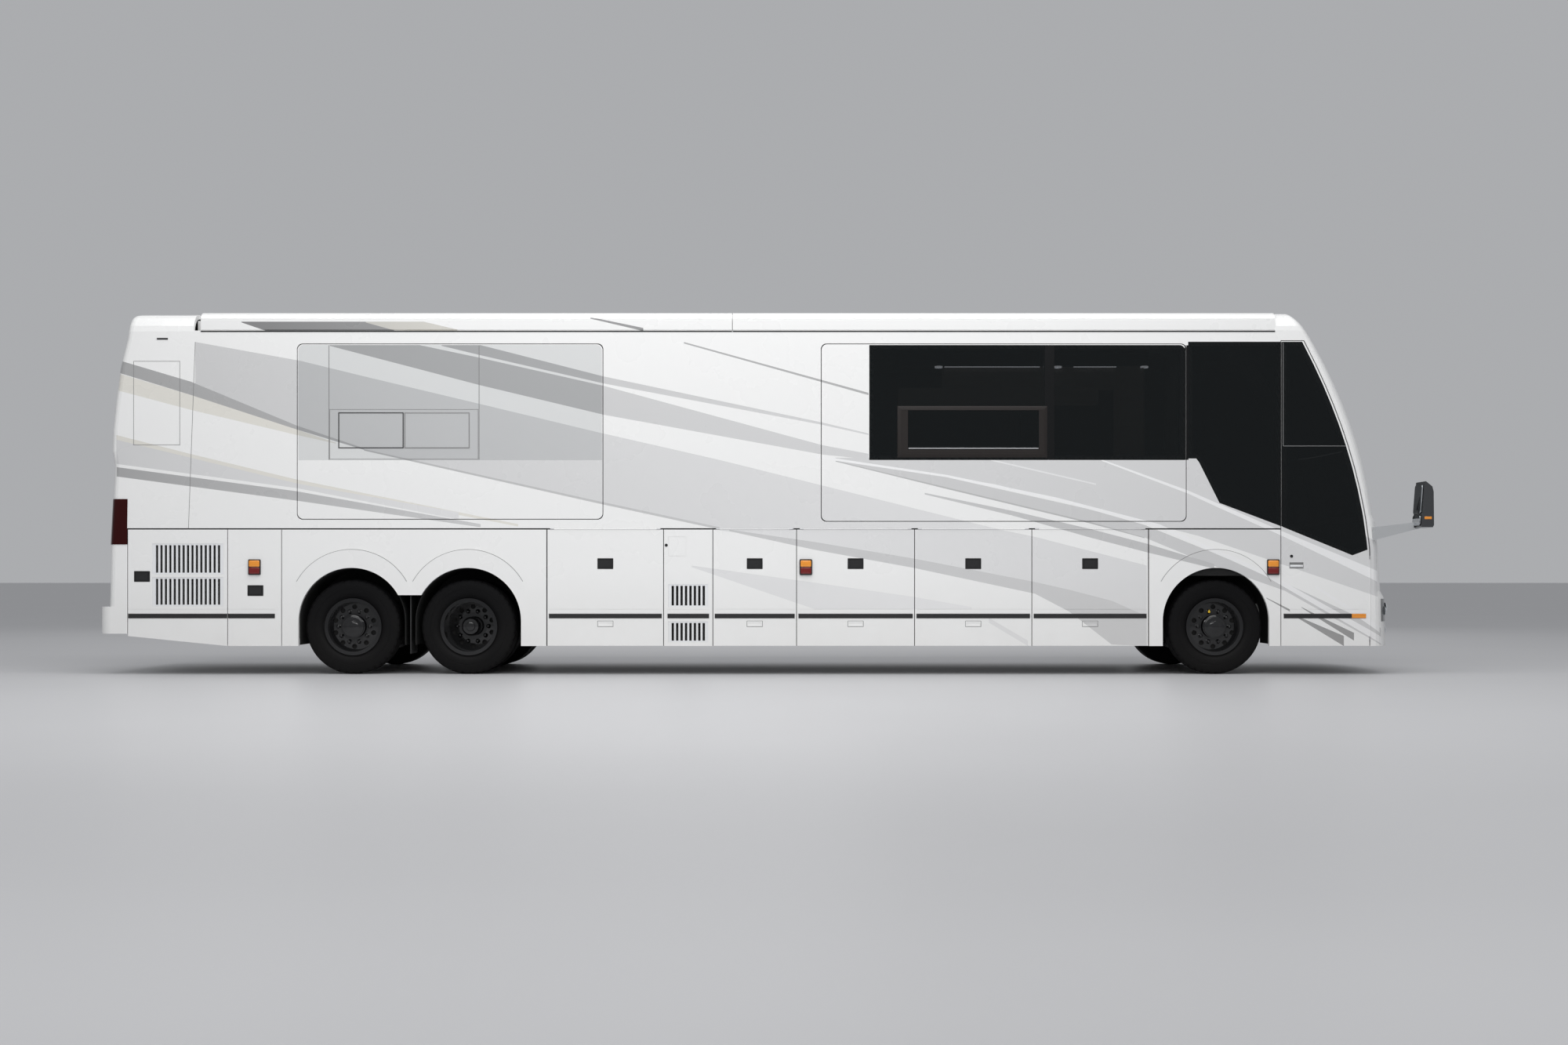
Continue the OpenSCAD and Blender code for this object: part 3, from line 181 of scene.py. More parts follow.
# %% [markdown]
# ## Coach paint with swept stripes
# The body is glossy white with pale grey and beige stripes that sweep from the upper rear to the lower
# front. They could be painted on an image, but a procedural stripe stays sharp at any size. Each stripe is
# the space between two broken lines, so one small node group measures a straight length of it, and a second
# group lays all of them over the white. Both sides carry the same stripes, so the pattern reads only the X
# and Z of a point.

# %% Stripe tables
WHITE = (0.86, 0.86, 0.85, 1)
GREY, BEIGE = (1.0, 1.0, 1.0), (1.0, 0.975, 0.90)
# One pixel of the 2000 x 1333 side view in metres, the column of x = 0 and the row of the ground
PIXEL, MIDDLE_COLUMN, GROUND_ROW = 0.0083, 973, 859
# A stripe: its tint, its tone at both ends, and its stations as (column, upper row, lower row)
stripes = [
    # The broad field behind the middle and its thin lower edge
    (GREY, 0.60, 0.74, [(247, 434, 487), (381, 458, 543), (463, 478, 571), (610, 513, 604), (760, 549, 637),
                        (918, 585, 673), (1276, 674, 675)]),
    (GREY, 0.48, 0.56, [(463, 571, 573), (760, 637, 640), (918, 671, 674)]),
    # Dark and beige pair over the rear cap
    (GREY, 0.38, 0.44, [(148, 457, 473), (242, 485, 502), (377, 541, 546), (463, 570, 572)]),
    (BEIGE, 0.74, 0.74, [(148, 474, 496), (242, 502, 521), (377, 546, 553), (427, 563, 564)]),
    # Low set at the rear
    (BEIGE, 0.72, 0.76, [(146, 553, 559), (240, 577, 582), (377, 610, 615), (660, 667, 670)]),
    (GREY, 0.64, 0.74, [(146, 559, 590), (377, 615, 621), (584, 652, 661)]),
    (GREY, 0.38, 0.60, [(146, 594, 606), (377, 625, 637), (612, 667, 671)]),
    # Dark stripes above the broad field, towards the front room
    (GREY, 0.46, 0.50, [(419, 438, 439), (534, 438, 469), (610, 454, 489), (769, 490, 527)]),
    (GREY, 0.60, 0.64, [(769, 490, 527), (1049, 566, 578), (1108, 577, 584)]),
    (GREY, 0.46, 0.50, [(562, 438, 439), (612, 438, 451), (769, 478, 487)]),
    (GREY, 0.58, 0.64, [(769, 478, 487), (1049, 537, 540), (1108, 551, 553)]),
    (GREY, 0.42, 0.42, [(872, 434, 436), (1108, 499, 502)]),
    # Grey field below the front glass and over the nose
    (GREY, 0.64, 0.68, [(1066, 582, 583), (1270, 582, 616), (1530, 582, 682), (1760, 690, 760)]),
    (GREY, 0.60, 0.62, [(1066, 584, 586), (1208, 607, 620), (1391, 648, 664), (1461, 668, 684),
                        (1540, 700, 717), (1640, 742, 752), (1765, 800, 822)]),
    (GREY, 0.46, 0.50, [(1066, 586, 587), (1208, 620, 622), (1391, 664, 666), (1461, 684, 685)]),
    (GREY, 0.56, 0.54, [(1180, 627, 629), (1292, 650, 656), (1391, 673, 684), (1464, 692, 703),
                        (1550, 718, 724)]),
    # The field and its darker edge run on over the luggage doors
    (GREY, 0.74, 0.72, [(918, 674, 675), (1040, 674, 690), (1166, 674, 711), (1276, 674, 733),
                        (1320, 683, 741), (1433, 712, 776), (1464, 720, 790)]),
    (GREY, 0.58, 0.62, [(930, 674, 676), (1040, 690, 700), (1166, 711, 723), (1321, 741, 756),
                        (1365, 751, 779), (1419, 765, 821), (1464, 785, 823)]),
    (GREY, 0.74, 0.80, [(882, 720, 722), (1040, 742, 776), (1166, 760, 776), (1240, 773, 776)]),
    (GREY, 0.76, 0.76, [(1262, 787, 793), (1312, 816, 823)]),
    # Dark slashes at the foot of the entry door
    (GREY, 0.34, 0.34, [(1617, 761, 762), (1647, 776, 779)]),
    (GREY, 0.34, 0.30, [(1657, 785, 787), (1716, 810, 823)]),
    (GREY, 0.34, 0.30, [(1662, 773, 774), (1689, 787, 791), (1729, 806, 816)]),
    # Patches on the awning case
    (GREY, 0.22, 0.30, [(306, 408, 409), (338, 408, 420), (465, 408, 420), (501, 418, 420)]),
    (BEIGE, 0.56, 0.64, [(465, 408, 409), (501, 408, 419), (539, 408, 420), (582, 418, 420)]),
    (GREY, 0.30, 0.30, [(752, 402, 404), (820, 416, 420)]),
    # Thin white lines that part the front field
    (GREY, 0.87, 0.87, [(1040, 579, 582), (1208, 604, 607), (1349, 633, 637), (1480, 667, 672),
                        (1613, 726, 732), (1770, 814, 823)]),
    (GREY, 0.78, 0.78, [(1265, 584, 586), (1399, 615, 617)]),
    (GREY, 0.87, 0.87, [(1406, 584, 586), (1517, 624, 628), (1556, 641, 646), (1637, 676, 682),
                        (1762, 728, 742)]),
    (GREY, 0.87, 0.87, [(1679, 745, 748), (1763, 797, 806)]),
]


def to_x(column):
    return (column - MIDDLE_COLUMN) * PIXEL


def to_z(row):
    return (GROUND_ROW - row) * PIXEL


# %% [markdown]
# A point lies in a length of stripe when its X is between the two ends and its Z is between the two edges.
# Each test gives 0 or 1, and their product is the mask. The masks of one stripe are added up before its
# colour is laid on, which keeps the number of values that the renderer has to hold small.

# %% Stripe groups
stripe_group, g_in, g_out = new_group(
    "swept_stripe",
    [("Point", "NodeSocketVector", None)]
    + [(n, "NodeSocketFloat", 0.0) for n in ("X0", "Low0", "High0", "X1", "Low1", "High1", "Tone0", "Tone1")],
    [("Mask", "NodeSocketFloat"), ("Tone", "NodeSocketFloat")],
)
split = add_node(stripe_group, "ShaderNodeSeparateXYZ", {0: g_in.outputs["Point"]})


def along(first, last):
    """A value that runs from one end of the stripe to the other; the mask cuts it off beyond them."""
    return add_node(stripe_group, "ShaderNodeMapRange", {
        0: split.outputs["X"], 1: g_in.outputs["X0"], 2: g_in.outputs["X1"],
        3: g_in.outputs[first], 4: g_in.outputs[last]}, clamp=False).outputs[0]


tests = [
    maths(stripe_group, "GREATER_THAN", split.outputs["X"], g_in.outputs["X0"]),
    maths(stripe_group, "LESS_THAN", split.outputs["X"], g_in.outputs["X1"]),
    maths(stripe_group, "GREATER_THAN", split.outputs["Z"], along("Low0", "Low1")),
    maths(stripe_group, "LESS_THAN", split.outputs["Z"], along("High0", "High1")),
]
mask = tests[0]
for test in tests[1:]:
    mask = maths(stripe_group, "MULTIPLY", mask, test)
stripe_group.links.new(mask, g_out.inputs["Mask"])
tone = maths(stripe_group, "MULTIPLY", mask, along("Tone0", "Tone1"))
stripe_group.links.new(tone, g_out.inputs["Tone"])

livery_group, l_in, l_out = new_group(
    "livery", [("Point", "NodeSocketVector", None)], [("Color", "NodeSocketColor")])
side_point = add_node(livery_group, "ShaderNodeSeparateXYZ", {0: l_in.outputs["Point"]})
# Stripes belong to the sides, so they stop where the body turns to the front, back and roof
STRIPED_FROM_Y = 1.12
off_middle = maths(livery_group, "ABSOLUTE", side_point.outputs["Y"])
on_side = maths(livery_group, "GREATER_THAN", off_middle, STRIPED_FROM_Y)
colour = WHITE
for tint, first_tone, last_tone, stations in stripes:
    start, length = stations[0][0], stations[-1][0] - stations[0][0]
    masks, tones = 0.0, 0.0
    for (c0, top0, low0), (c1, top1, low1) in zip(stations, stations[1:]):
        t0, t1 = (first_tone + (last_tone - first_tone) * (c - start) / length for c in (c0, c1))
        band = use_group(livery_group, stripe_group, Point=l_in.outputs["Point"], X0=to_x(c0), X1=to_x(c1),
                         Low0=to_z(low0), High0=to_z(top0), Low1=to_z(low1), High1=to_z(top1),
                         Tone0=t0, Tone1=t1)
        masks = maths(livery_group, "ADD", masks, band.outputs["Mask"])
        tones = maths(livery_group, "ADD", tones, band.outputs["Tone"])
    shade = add_node(livery_group, "ShaderNodeVectorMath", {0: tint, "Scale": tones}, operation="SCALE")
    place = maths(livery_group, "MULTIPLY", masks, on_side)
    colour = blend_colours(livery_group, place, colour, shade.outputs[0])
livery_group.links.new(colour, l_out.inputs["Color"])
print(len(stripes), "stripes")

# %% [markdown]
# Fresh coach paint is never a perfect mirror. A fine orange-peel bump and slow changes of roughness make
# the reflections swim a little, and a breath of road dust gathers towards the skirts. The same group serves
# the paint, the plastics and the glass, each with its own strength.

# %% Surface group
surface_group, s_in, s_out = new_group(
    "surface",
    [("Point", "NodeSocketVector", None), ("Color", "NodeSocketColor", (0.8, 0.8, 0.8, 1)),
     ("Roughness", "NodeSocketFloat", 0.3), ("Grain Scale", "NodeSocketFloat", 300.0),
     ("Grain Height", "NodeSocketFloat", 0.0002), ("Dust", "NodeSocketFloat", 0.1)],
    [("Color", "NodeSocketColor"), ("Roughness", "NodeSocketFloat"), ("Normal", "NodeSocketVector")],
)
DUST_TONE, DUST_Z = (0.42, 0.39, 0.35, 1), (1.1, 0.25)
cloud = add_node(surface_group, "ShaderNodeTexNoise",
                 {"Vector": s_in.outputs["Point"], "Scale": 1.7, "Detail": 4.0})
grain = add_node(surface_group, "ShaderNodeTexNoise",
                 {"Vector": s_in.outputs["Point"], "Scale": s_in.outputs["Grain Scale"], "Detail": 2.0})
height = add_node(surface_group, "ShaderNodeSeparateXYZ", {0: s_in.outputs["Point"]}).outputs["Z"]
low_down = add_node(surface_group, "ShaderNodeMapRange", {0: height, 1: DUST_Z[0], 2: DUST_Z[1]}).outputs[0]
dusty = maths(surface_group, "MULTIPLY", maths(surface_group, "MULTIPLY", low_down, cloud.outputs[0]),
              s_in.outputs["Dust"])
toned = blend_colours(surface_group, dusty, s_in.outputs["Color"], DUST_TONE)
surface_group.links.new(toned, s_out.inputs["Color"])
spread = add_node(surface_group, "ShaderNodeMapRange", {0: cloud.outputs[0], 3: 0.82, 4: 1.18}).outputs[0]
uneven = maths(surface_group, "MULTIPLY", s_in.outputs["Roughness"], spread)
rough = maths(surface_group, "ADD", uneven, dusty)
surface_group.links.new(rough, s_out.inputs["Roughness"])
bump = add_node(surface_group, "ShaderNodeBump",
                {"Height": grain.outputs[0], "Distance": s_in.outputs["Grain Height"], "Strength": 1.0})
surface_group.links.new(bump.outputs[0], s_out.inputs["Normal"])


def finish_with_surface(tree, shader, colour, roughness, grain_scale, grain_height, dust):
    """Joins a surface group to a Principled shader; colour is a tone or a socket."""
    surface = use_group(tree, surface_group, Point=object_coords(tree), Color=colour, Roughness=roughness,
                        Grain_Scale=grain_scale, Grain_Height=grain_height, Dust=dust)
    for socket, target in (("Color", "Base Color"), ("Roughness", "Roughness"), ("Normal", "Normal")):
        tree.links.new(surface.outputs[socket], shader.inputs[target])


def plain_finish(name, tone, roughness, grain_scale=260.0, grain_height=0.0002, dust=0.15, **sockets):
    material, tree, shader = new_material(name, **sockets)
    finish_with_surface(tree, shader, (*tone, 1), roughness, grain_scale, grain_height, dust)
    return material


# %% [markdown]
# With the surface group at hand, a finish is one line: its tone, its roughness, the size and height of its
# grain and how much dust it takes. Paint, veneer, glass and lit strips get a pattern of their own first. At
# the end, every CAD node takes the finish that its slot in the record names.

# %% Paint and other finishes
paint, tree, shader = new_material("coach_paint", Coat_Weight=0.6, Coat_Roughness=0.06)
livery = use_group(tree, livery_group, Point=object_coords(tree))
finish_with_surface(tree, shader, livery.outputs["Color"], 0.28, 140.0, 0.00012, 0.25)

chassis_black = plain_finish("chassis_black", (0.014, 0.014, 0.015), 0.6, 90.0, 0.0006, 0.15)
iron = plain_finish("engine_iron", (0.06, 0.062, 0.066), 0.6, 60.0, 0.0012, 0.2, Metallic=0.6)
floor_board = plain_finish("floor_board", (0.06, 0.055, 0.05), 0.6, 40.0, 0.0008, 0.2)
grille_paint = plain_finish("grille_paint", (0.80, 0.81, 0.82), 0.32, 140.0, 0.0002, 0.3)
black_plastic = plain_finish("black_plastic", (0.012, 0.012, 0.013), 0.38, 420.0, 0.0003, 0.04)
hinge_steel = plain_finish("hinge_steel", (0.55, 0.55, 0.56), 0.35, 500.0, 0.0001, 0.2, Metallic=1.0)
cab_plastic = plain_finish("cab_plastic", (0.045, 0.045, 0.05), 0.6, 700.0, 0.0004, 0.0)
rim_black = plain_finish("rim_black", (0.004, 0.004, 0.0045), 0.10, 200.0, 0.0001, 0.0, Coat_Weight=0.25)
housing_black = plain_finish("housing_black", (0.008, 0.008, 0.008), 0.8, 120.0, 0.0006, 0.03)
strip_rubber = plain_finish("strip_rubber", (0.012, 0.012, 0.013), 0.5, 300.0, 0.0002, 0.03)
frame_brown = plain_finish("frame_brown", (0.021, 0.018, 0.017), 0.4, 300.0, 0.0001, 0.0,
                           Specular_IOR_Level=0.2)
pane_black = plain_finish("pane_black", (0.004, 0.0045, 0.005), 0.25, 300.0, 0.0001, 0.0,
                          Specular_IOR_Level=0.25)
seal_grey = plain_finish("seal_grey", (0.24, 0.24, 0.24), 0.4, 300.0, 0.0001, 0.0)
mirror_silver = plain_finish("mirror_silver", (0.62, 0.64, 0.66), 0.04, 3.0, 0.00005, 0.0, Metallic=1.0)
pointer_yellow = plain_finish("pointer_yellow", (0.80, 0.52, 0.02), 0.4, 300.0, 0.0001, 0.0)
rubber = plain_finish("tyre_rubber", (0.0045, 0.0045, 0.005), 0.62, 220.0, 0.0006, 0.02,
                      Specular_IOR_Level=0.08)
grip_rubber = plain_finish("grip_rubber", (0.02, 0.02, 0.02), 0.6, 500.0, 0.0004, 0.0)
leather = plain_finish("seat_leather", (0.42, 0.36, 0.29), 0.45, 260.0, 0.0009, 0.0)
lamp_red = plain_finish("lamp_red", (0.030, 0.001, 0.001), 0.12, 120.0, 0.0004, 0.0, Specular_IOR_Level=0.2)
lens_red = plain_finish("lens_red", (0.16, 0.006, 0.006), 0.12, 120.0, 0.0004, 0.0, Coat_Weight=0.3)
lamp_amber = plain_finish("lamp_amber", (0.85, 0.30, 0.02), 0.15, 120.0, 0.0004, 0.1, Coat_Weight=1.0)
lamp_clear = plain_finish("lamp_clear", (0.62, 0.65, 0.68), 0.1, 90.0, 0.0004, 0.1, Coat_Weight=1.0)
lamp_bowl = plain_finish("lamp_bowl", (0.11, 0.115, 0.12), 0.12, 90.0, 0.0004, 0.05, Coat_Weight=1.0)

# A glowing strip: its brightness varies a little along its diodes
led_glow, tree, shader = new_material("led_glow", Roughness=0.4, Emission_Strength=6.0)
diodes = add_node(tree, "ShaderNodeTexWave", {"Vector": object_coords(tree), "Scale": 12.0})
glow = blend_colours(tree, diodes.outputs["Fac"], (0.75, 0.80, 0.90, 1), (0.95, 0.97, 1.0, 1))
for socket in ("Base Color", "Emission Color"):
    tree.links.new(glow, shader.inputs[socket])

veneer, tree, shader = new_material("galley_veneer", Coat_Weight=0.4)
stretch = add_node(tree, "ShaderNodeMapping", {0: object_coords(tree), "Scale": (1.2, 6.0, 14.0)})
figure = add_node(tree, "ShaderNodeTexNoise", {"Vector": stretch.outputs[0], "Scale": 2.4, "Detail": 8.0,
                                               "Distortion": 1.2})
ramp = add_node(tree, "ShaderNodeValToRGB", {0: figure.outputs[0]})
ramp.color_ramp.elements[0].color = (0.035, 0.016, 0.008, 1)
ramp.color_ramp.elements[1].color = (0.16, 0.075, 0.035, 1)
finish_with_surface(tree, shader, ramp.outputs[0], 0.3, 300.0, 0.0001, 0.0)

dark_glass, tree, shader = new_material("dark_glass", Specular_IOR_Level=0.25, Alpha=0.86)
finish_with_surface(tree, shader, (0.003, 0.0045, 0.005, 1), 0.05, 2.0, 0.0006, 0.0)

# The rear room's glass carries the stripes under a grey tint
film_glass, tree, shader = new_material("film_glass", Coat_Weight=0.7, Coat_Roughness=0.03)
livery = use_group(tree, livery_group, Point=object_coords(tree))
tinted = blend_colours(tree, 1.0, livery.outputs["Color"], (0.79, 0.80, 0.805, 1), "MULTIPLY")
finish_with_surface(tree, shader, tinted, 0.12, 2.0, 0.0006, 0.05)

# The mirror's arm is silver and its head is dark, and both belong to one solid
mirror_shell, tree, shader = new_material("mirror_shell", Coat_Weight=0.4)
ARM_END = (6.905, 1.556)
mirror_point = add_node(tree, "ShaderNodeSeparateXYZ", {0: object_coords(tree)})
behind = maths(tree, "LESS_THAN", mirror_point.outputs["X"], ARM_END[0])
below = maths(tree, "LESS_THAN", mirror_point.outputs["Z"], ARM_END[1])
on_arm = maths(tree, "MAXIMUM", behind, below)
arm_or_head = blend_colours(tree, on_arm, (0.035, 0.037, 0.040, 1), (0.42, 0.43, 0.44, 1))
finish_with_surface(tree, shader, arm_or_head, 0.28, 300.0, 0.0001, 0.05)

# Joinery in lamplight: the room's own lamps are small, so the finish glows a little itself, as painted
# lamplight
veneer_painted_glow, tree, shader = new_material("veneer_painted_glow", Roughness=0.5, Emission_Strength=1.0)
long_grain = add_node(tree, "ShaderNodeMapping", {0: object_coords(tree), "Scale": (0.8, 4.0, 9.0)})
figure = add_node(tree, "ShaderNodeTexNoise", {"Vector": long_grain.outputs[0], "Scale": 3.0, "Detail": 6.0})
lit = blend_colours(tree, figure.outputs[0], (0.05, 0.043, 0.037, 1), (0.15, 0.13, 0.115, 1))
for socket in ("Base Color", "Emission Color"):
    tree.links.new(lit, shader.inputs[socket])

finishes = {
    "body_white": paint, "case_white": paint, "frame_paint": chassis_black, "deck_board": floor_board,
    "engine_iron": iron, "grille_paint": grille_paint, "tinted_glass": dark_glass, "lamp_clear": lamp_clear,
    "lamp_red": lamp_red, "lamp_amber": lamp_amber, "mirror_shell": mirror_shell, "hinge_steel": hinge_steel,
    "cab_plastic": cab_plastic, "seat_leather": leather, "wheel_rubber": grip_rubber, "galley_wood": veneer,
    "rim_black": rim_black, "tyre": rubber,
}
for part in frame["record"]["subparts"]:
    cad = nodes[part["node"]]
    cad.data.materials.clear()
    cad.data.materials.append(finishes[part["material_slot"]])
nodes["rear_room_glass"].data.materials[0] = film_glass
nodes["headlamps"].data.materials[0] = lamp_bowl
print("finishes on", len(nodes), "nodes")

# %% [markdown]
# ## Modelling helpers
# Each piece starts as a primitive and is shaped in edit mode, as by hand. Operators act on what is
# selected, so one helper deselects everything before it adds a primitive, and one picks faces or edges by
# their place and direction. A finished piece gets its shading, its finish and the body that it rides on in
# one call.


# %% Modelling helpers
def begin(kind, scale=(1, 1, 1), **settings):
    """One primitive, alone in the selection, with its place and size in its mesh."""
    bpy.ops.object.select_all(action="DESELECT")
    getattr(bpy.ops.mesh, f"primitive_{kind}_add")(**settings)
    piece = bpy.context.object
    piece.scale = scale
    bpy.ops.object.transform_apply(location=True, rotation=True, scale=True)
    return piece


def block(low, high):
    """A box between two corners."""
    low, high = Vector(low), Vector(high)
    return begin("cube", size=1, location=(low + high) / 2, scale=high - low)


def pick(piece, test, kind="FACE"):
    """Goes to edit mode with the faces or edges selected whose middle and direction pass the test."""
    bpy.ops.object.mode_set(mode="EDIT")
    bpy.ops.mesh.select_mode(type=kind)
    bpy.ops.mesh.select_all(action="DESELECT")
    bpy.ops.object.mode_set(mode="OBJECT")
    mesh = piece.data
    if kind == "FACE":
        for face in mesh.polygons:
            face.select = test(face.center, face.normal)
    else:
        for edge in mesh.edges:
            a, b = (mesh.vertices[i].co for i in edge.vertices)
            edge.select = test((a + b) / 2, (b - a).normalized())
    bpy.ops.object.mode_set(mode="EDIT")


def pick_all():
    bpy.ops.object.mode_set(mode="EDIT")
    bpy.ops.mesh.select_all(action="SELECT")


def push(distance):
    """Extrudes the picked faces along their normals."""
    bpy.ops.mesh.extrude_region_shrink_fatten(TRANSFORM_OT_shrink_fatten={"value": distance})


def step_face(inset, distance):
    """Insets the picked faces and pushes the inner part out, or in for a negative distance."""
    bpy.ops.mesh.inset(thickness=inset)
    push(distance)


def round_picked(offset, segments):
    bpy.ops.mesh.bevel(offset=offset, segments=segments, affect="EDGES")


def cut_below(z, fill=True):
    """Cuts away the part of the active piece below a height."""
    pick_all()
    bpy.ops.mesh.bisect(plane_co=(0, 0, z), plane_no=(0, 0, 1), clear_inner=True, use_fill=fill)
    object_mode()


def round_edges(offset, segments=2):
    pick_all()
    bpy.ops.mesh.bevel(offset=offset, segments=segments, affect="EDGES", clamp_overlap=True)


def object_mode():
    bpy.ops.object.mode_set(mode="OBJECT")


def select_only(*pieces):
    bpy.ops.object.select_all(action="DESELECT")
    for piece in pieces:
        piece.select_set(True)
    bpy.context.view_layer.objects.active = pieces[0]


def join(pieces):
    select_only(*pieces)
    if len(pieces) > 1:
        bpy.ops.object.join()
    return pieces[0]


def apply_modifier(piece, kind, **settings):
    select_only(piece)
    modifier = piece.modifiers.new(kind.lower(), kind)
    for key, value in settings.items():
        setattr(modifier, key, value)
    bpy.ops.object.modifier_apply(modifier=modifier.name)


def settle(piece, name, body, material, angle=35):
    """Shades and names a finished piece, and gives it a finish and the body that it rides on."""
    object_mode()
    select_only(piece)
    bpy.ops.object.shade_smooth_by_angle(angle=math.radians(angle))
    piece.name = piece.data.name = name
    piece.data.materials.clear()
    piece.data.materials.append(material)
    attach(piece, body)
    return piece


def copy_piece(piece, place):
    """A copy with its own mesh, put in its place by a matrix; a mirror image is turned right side out."""
    twin = piece.copy()
    twin.data = piece.data.copy()
    bpy.context.scene.collection.objects.link(twin)
    twin.data.transform(place)
    if place.determinant() < 0:
        twin.data.flip_normals()
    return twin


TO_LEFT = Matrix.Scale(-1, 4, (0, 1, 0))


def mirrored(piece):
    """Moves a piece of the right side over to the left."""
    piece.data.transform(TO_LEFT)
    piece.data.flip_normals()
    return piece


def settle_both(piece, name, body, material, angle=35):
    """Settles a piece of the right side and its mirror image on the left; {} in body stands for the side."""
    left = copy_piece(piece, TO_LEFT)
    settle(piece, f"{name}_right", body.format("right"), material, angle)
    settle(left, f"{name}_left", body.format("left"), material, angle)


def spun(points, steps):
    """A solid turned about the Y axis from a section of (radius, y) points."""
    piece = begin("plane", size=0.001, location=(*points[0], 0))
    pick_all()
    bpy.ops.mesh.select_mode(type="VERT")
    bpy.ops.mesh.merge(type="CENTER")
    for (r0, y0), (r1, y1) in zip(points, points[1:]):
        bpy.ops.mesh.extrude_vertices_move(TRANSFORM_OT_translate={"value": (r1 - r0, y1 - y0, 0)})
    bpy.ops.mesh.select_all(action="SELECT")
    bpy.ops.mesh.spin(steps=steps, angle=math.tau, center=(0, 0, 0), axis=(0, 1, 0))
    bpy.ops.mesh.select_all(action="SELECT")
    bpy.ops.mesh.remove_doubles(threshold=0.0001)
    bpy.ops.mesh.normals_make_consistent(inside=False)
    bpy.ops.mesh.select_mode(type="FACE")
    object_mode()
    return piece


print("helpers ready")

# %% [markdown]
# ## Tyres
# A coach tyre is a turned shape: bead, rim guard, bulging sidewall with a fine ring, shoulder and ribbed
# tread. A torus would give only a smooth doughnut, so the section is drawn point by point and spun about
# the axle. The cross cuts of the shoulders are picked by their angle afterwards and pressed inwards. One
# tyre is modelled at the origin and copied to every wheel, where it stands for the plain CAD tyre.

# %% Tyres
WHEEL_Y, WHEEL_Z = 1.105, 0.502
TWIN_PITCH = 0.330
TYRE_STEPS = 120
SHOULDER_R, SHOULDER_Y, CUT_DEPTH = 0.476, 0.098, 0.006
# Half of the section, from the bead to the middle of the tread: (radius, y)
half_section = [
    (0.2865, 0.104), (0.306, 0.110), (0.315, 0.1185), (0.321, 0.119), (0.330, 0.129), (0.346, 0.1392),
    (0.366, 0.1435), (0.386, 0.145), (0.4, 0.1446), (0.402, 0.143), (0.405, 0.143), (0.407, 0.1444),
    (0.432, 0.1428), (0.455, 0.138), (0.474, 0.132), (0.486, 0.126), (0.4945, 0.1185), (0.5, 0.106),
    (0.502, 0.096), (0.502, 0.066), (0.491, 0.0645), (0.491, 0.0555), (0.502, 0.054), (0.502, 0.022),
    (0.491, 0.0205), (0.491, 0.0115), (0.502, 0.01),
]
section = half_section + [(r, -y) for r, y in reversed(half_section)] + half_section[:1]
tyre = spun(section, TYRE_STEPS)


def in_shoulder_cut(centre, normal):
    radius = math.hypot(centre.x, centre.z)
    step = round((math.atan2(centre.z, centre.x) / math.tau) * TYRE_STEPS - 0.5)
    return radius > SHOULDER_R and abs(centre.y) > SHOULDER_Y and step % 3 == 0


pick(tyre, in_shoulder_cut)
push(-CUT_DEPTH)
object_mode()
wheel_places = {"front": 4.810, "drive": -3.133, "tag": -4.366}
for axle, x in wheel_places.items():
    for side, sign in (("right", -1), ("left", 1)):
        rows = (WHEEL_Y, WHEEL_Y - TWIN_PITCH) if axle == "drive" else (WHEEL_Y,)
        copies = [copy_piece(tyre, Matrix.Translation((x, sign * y, WHEEL_Z))) for y in rows]
        node = f"tyres_drive_{side}" if axle == "drive" else f"tyre_{axle}_{side}"
        piece = settle(join(copies), f"road_tyre_{axle}_{side}", f"wheel_{axle}_{side}", rubber, 28)
        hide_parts(node)
bpy.data.objects.remove(tyre)
print("8 tyres")

# %% [markdown]
# ## Nut covers and hub caps
# Ten nuts hold each wheel, and each wears a smooth thimble cover with a flange. The covers are one spun
# piece, copied round the stud circle and joined. The hub cap is spun too, in two lengths: a proud one for
# the front and tag wheels, and a deep one inside the dish of the twin wheels.

# %% Nut covers and hub caps
STUDS, STUD_CIRCLE = 10, 0.1675
SIDES = (("right", Matrix.Identity(4)), ("left", TO_LEFT))
SINGLE_STUD_END, TWIN_STUD_END = -0.080, 0.125
SINGLE_HUB_END, TWIN_HUB_END = -0.132, 0.015
cover = spun([(0.0, -0.012), (0.007, -0.0115), (0.013, -0.009), (0.0165, -0.004), (0.0178, 0.004),
              (0.0185, 0.026), (0.0245, 0.029), (0.0255, 0.034), (0.0178, 0.0345)], 20)
covers = []
for i in range(STUDS):
    angle = math.tau * i / STUDS
    place = Matrix.Translation((STUD_CIRCLE * math.cos(angle), 0, STUD_CIRCLE * math.sin(angle)))
    covers.append(copy_piece(cover, place))
cover_ring = join(covers)
hub_caps = {
    "single": spun([(0.0, -0.016), (0.034, -0.0155), (0.052, -0.012), (0.06, -0.006), (0.064, -0.0045),
                    (0.088, -0.004), (0.1, -0.0035), (0.108, -0.0005), (0.1145, 0.006), (0.1145, 0.03),
                    (0.1215, 0.034), (0.1215, 0.042), (0.1125, 0.0425)], 64),
    "twin": spun([(0.0, -0.045), (0.03, -0.044), (0.046, -0.038), (0.05, -0.028), (0.066, -0.024),
                  (0.082, -0.02), (0.09, -0.008), (0.0965, 0.004), (0.0965, 0.03), (0.104, 0.034),
                  (0.104, 0.04), (0.0955, 0.0405)], 64),
}
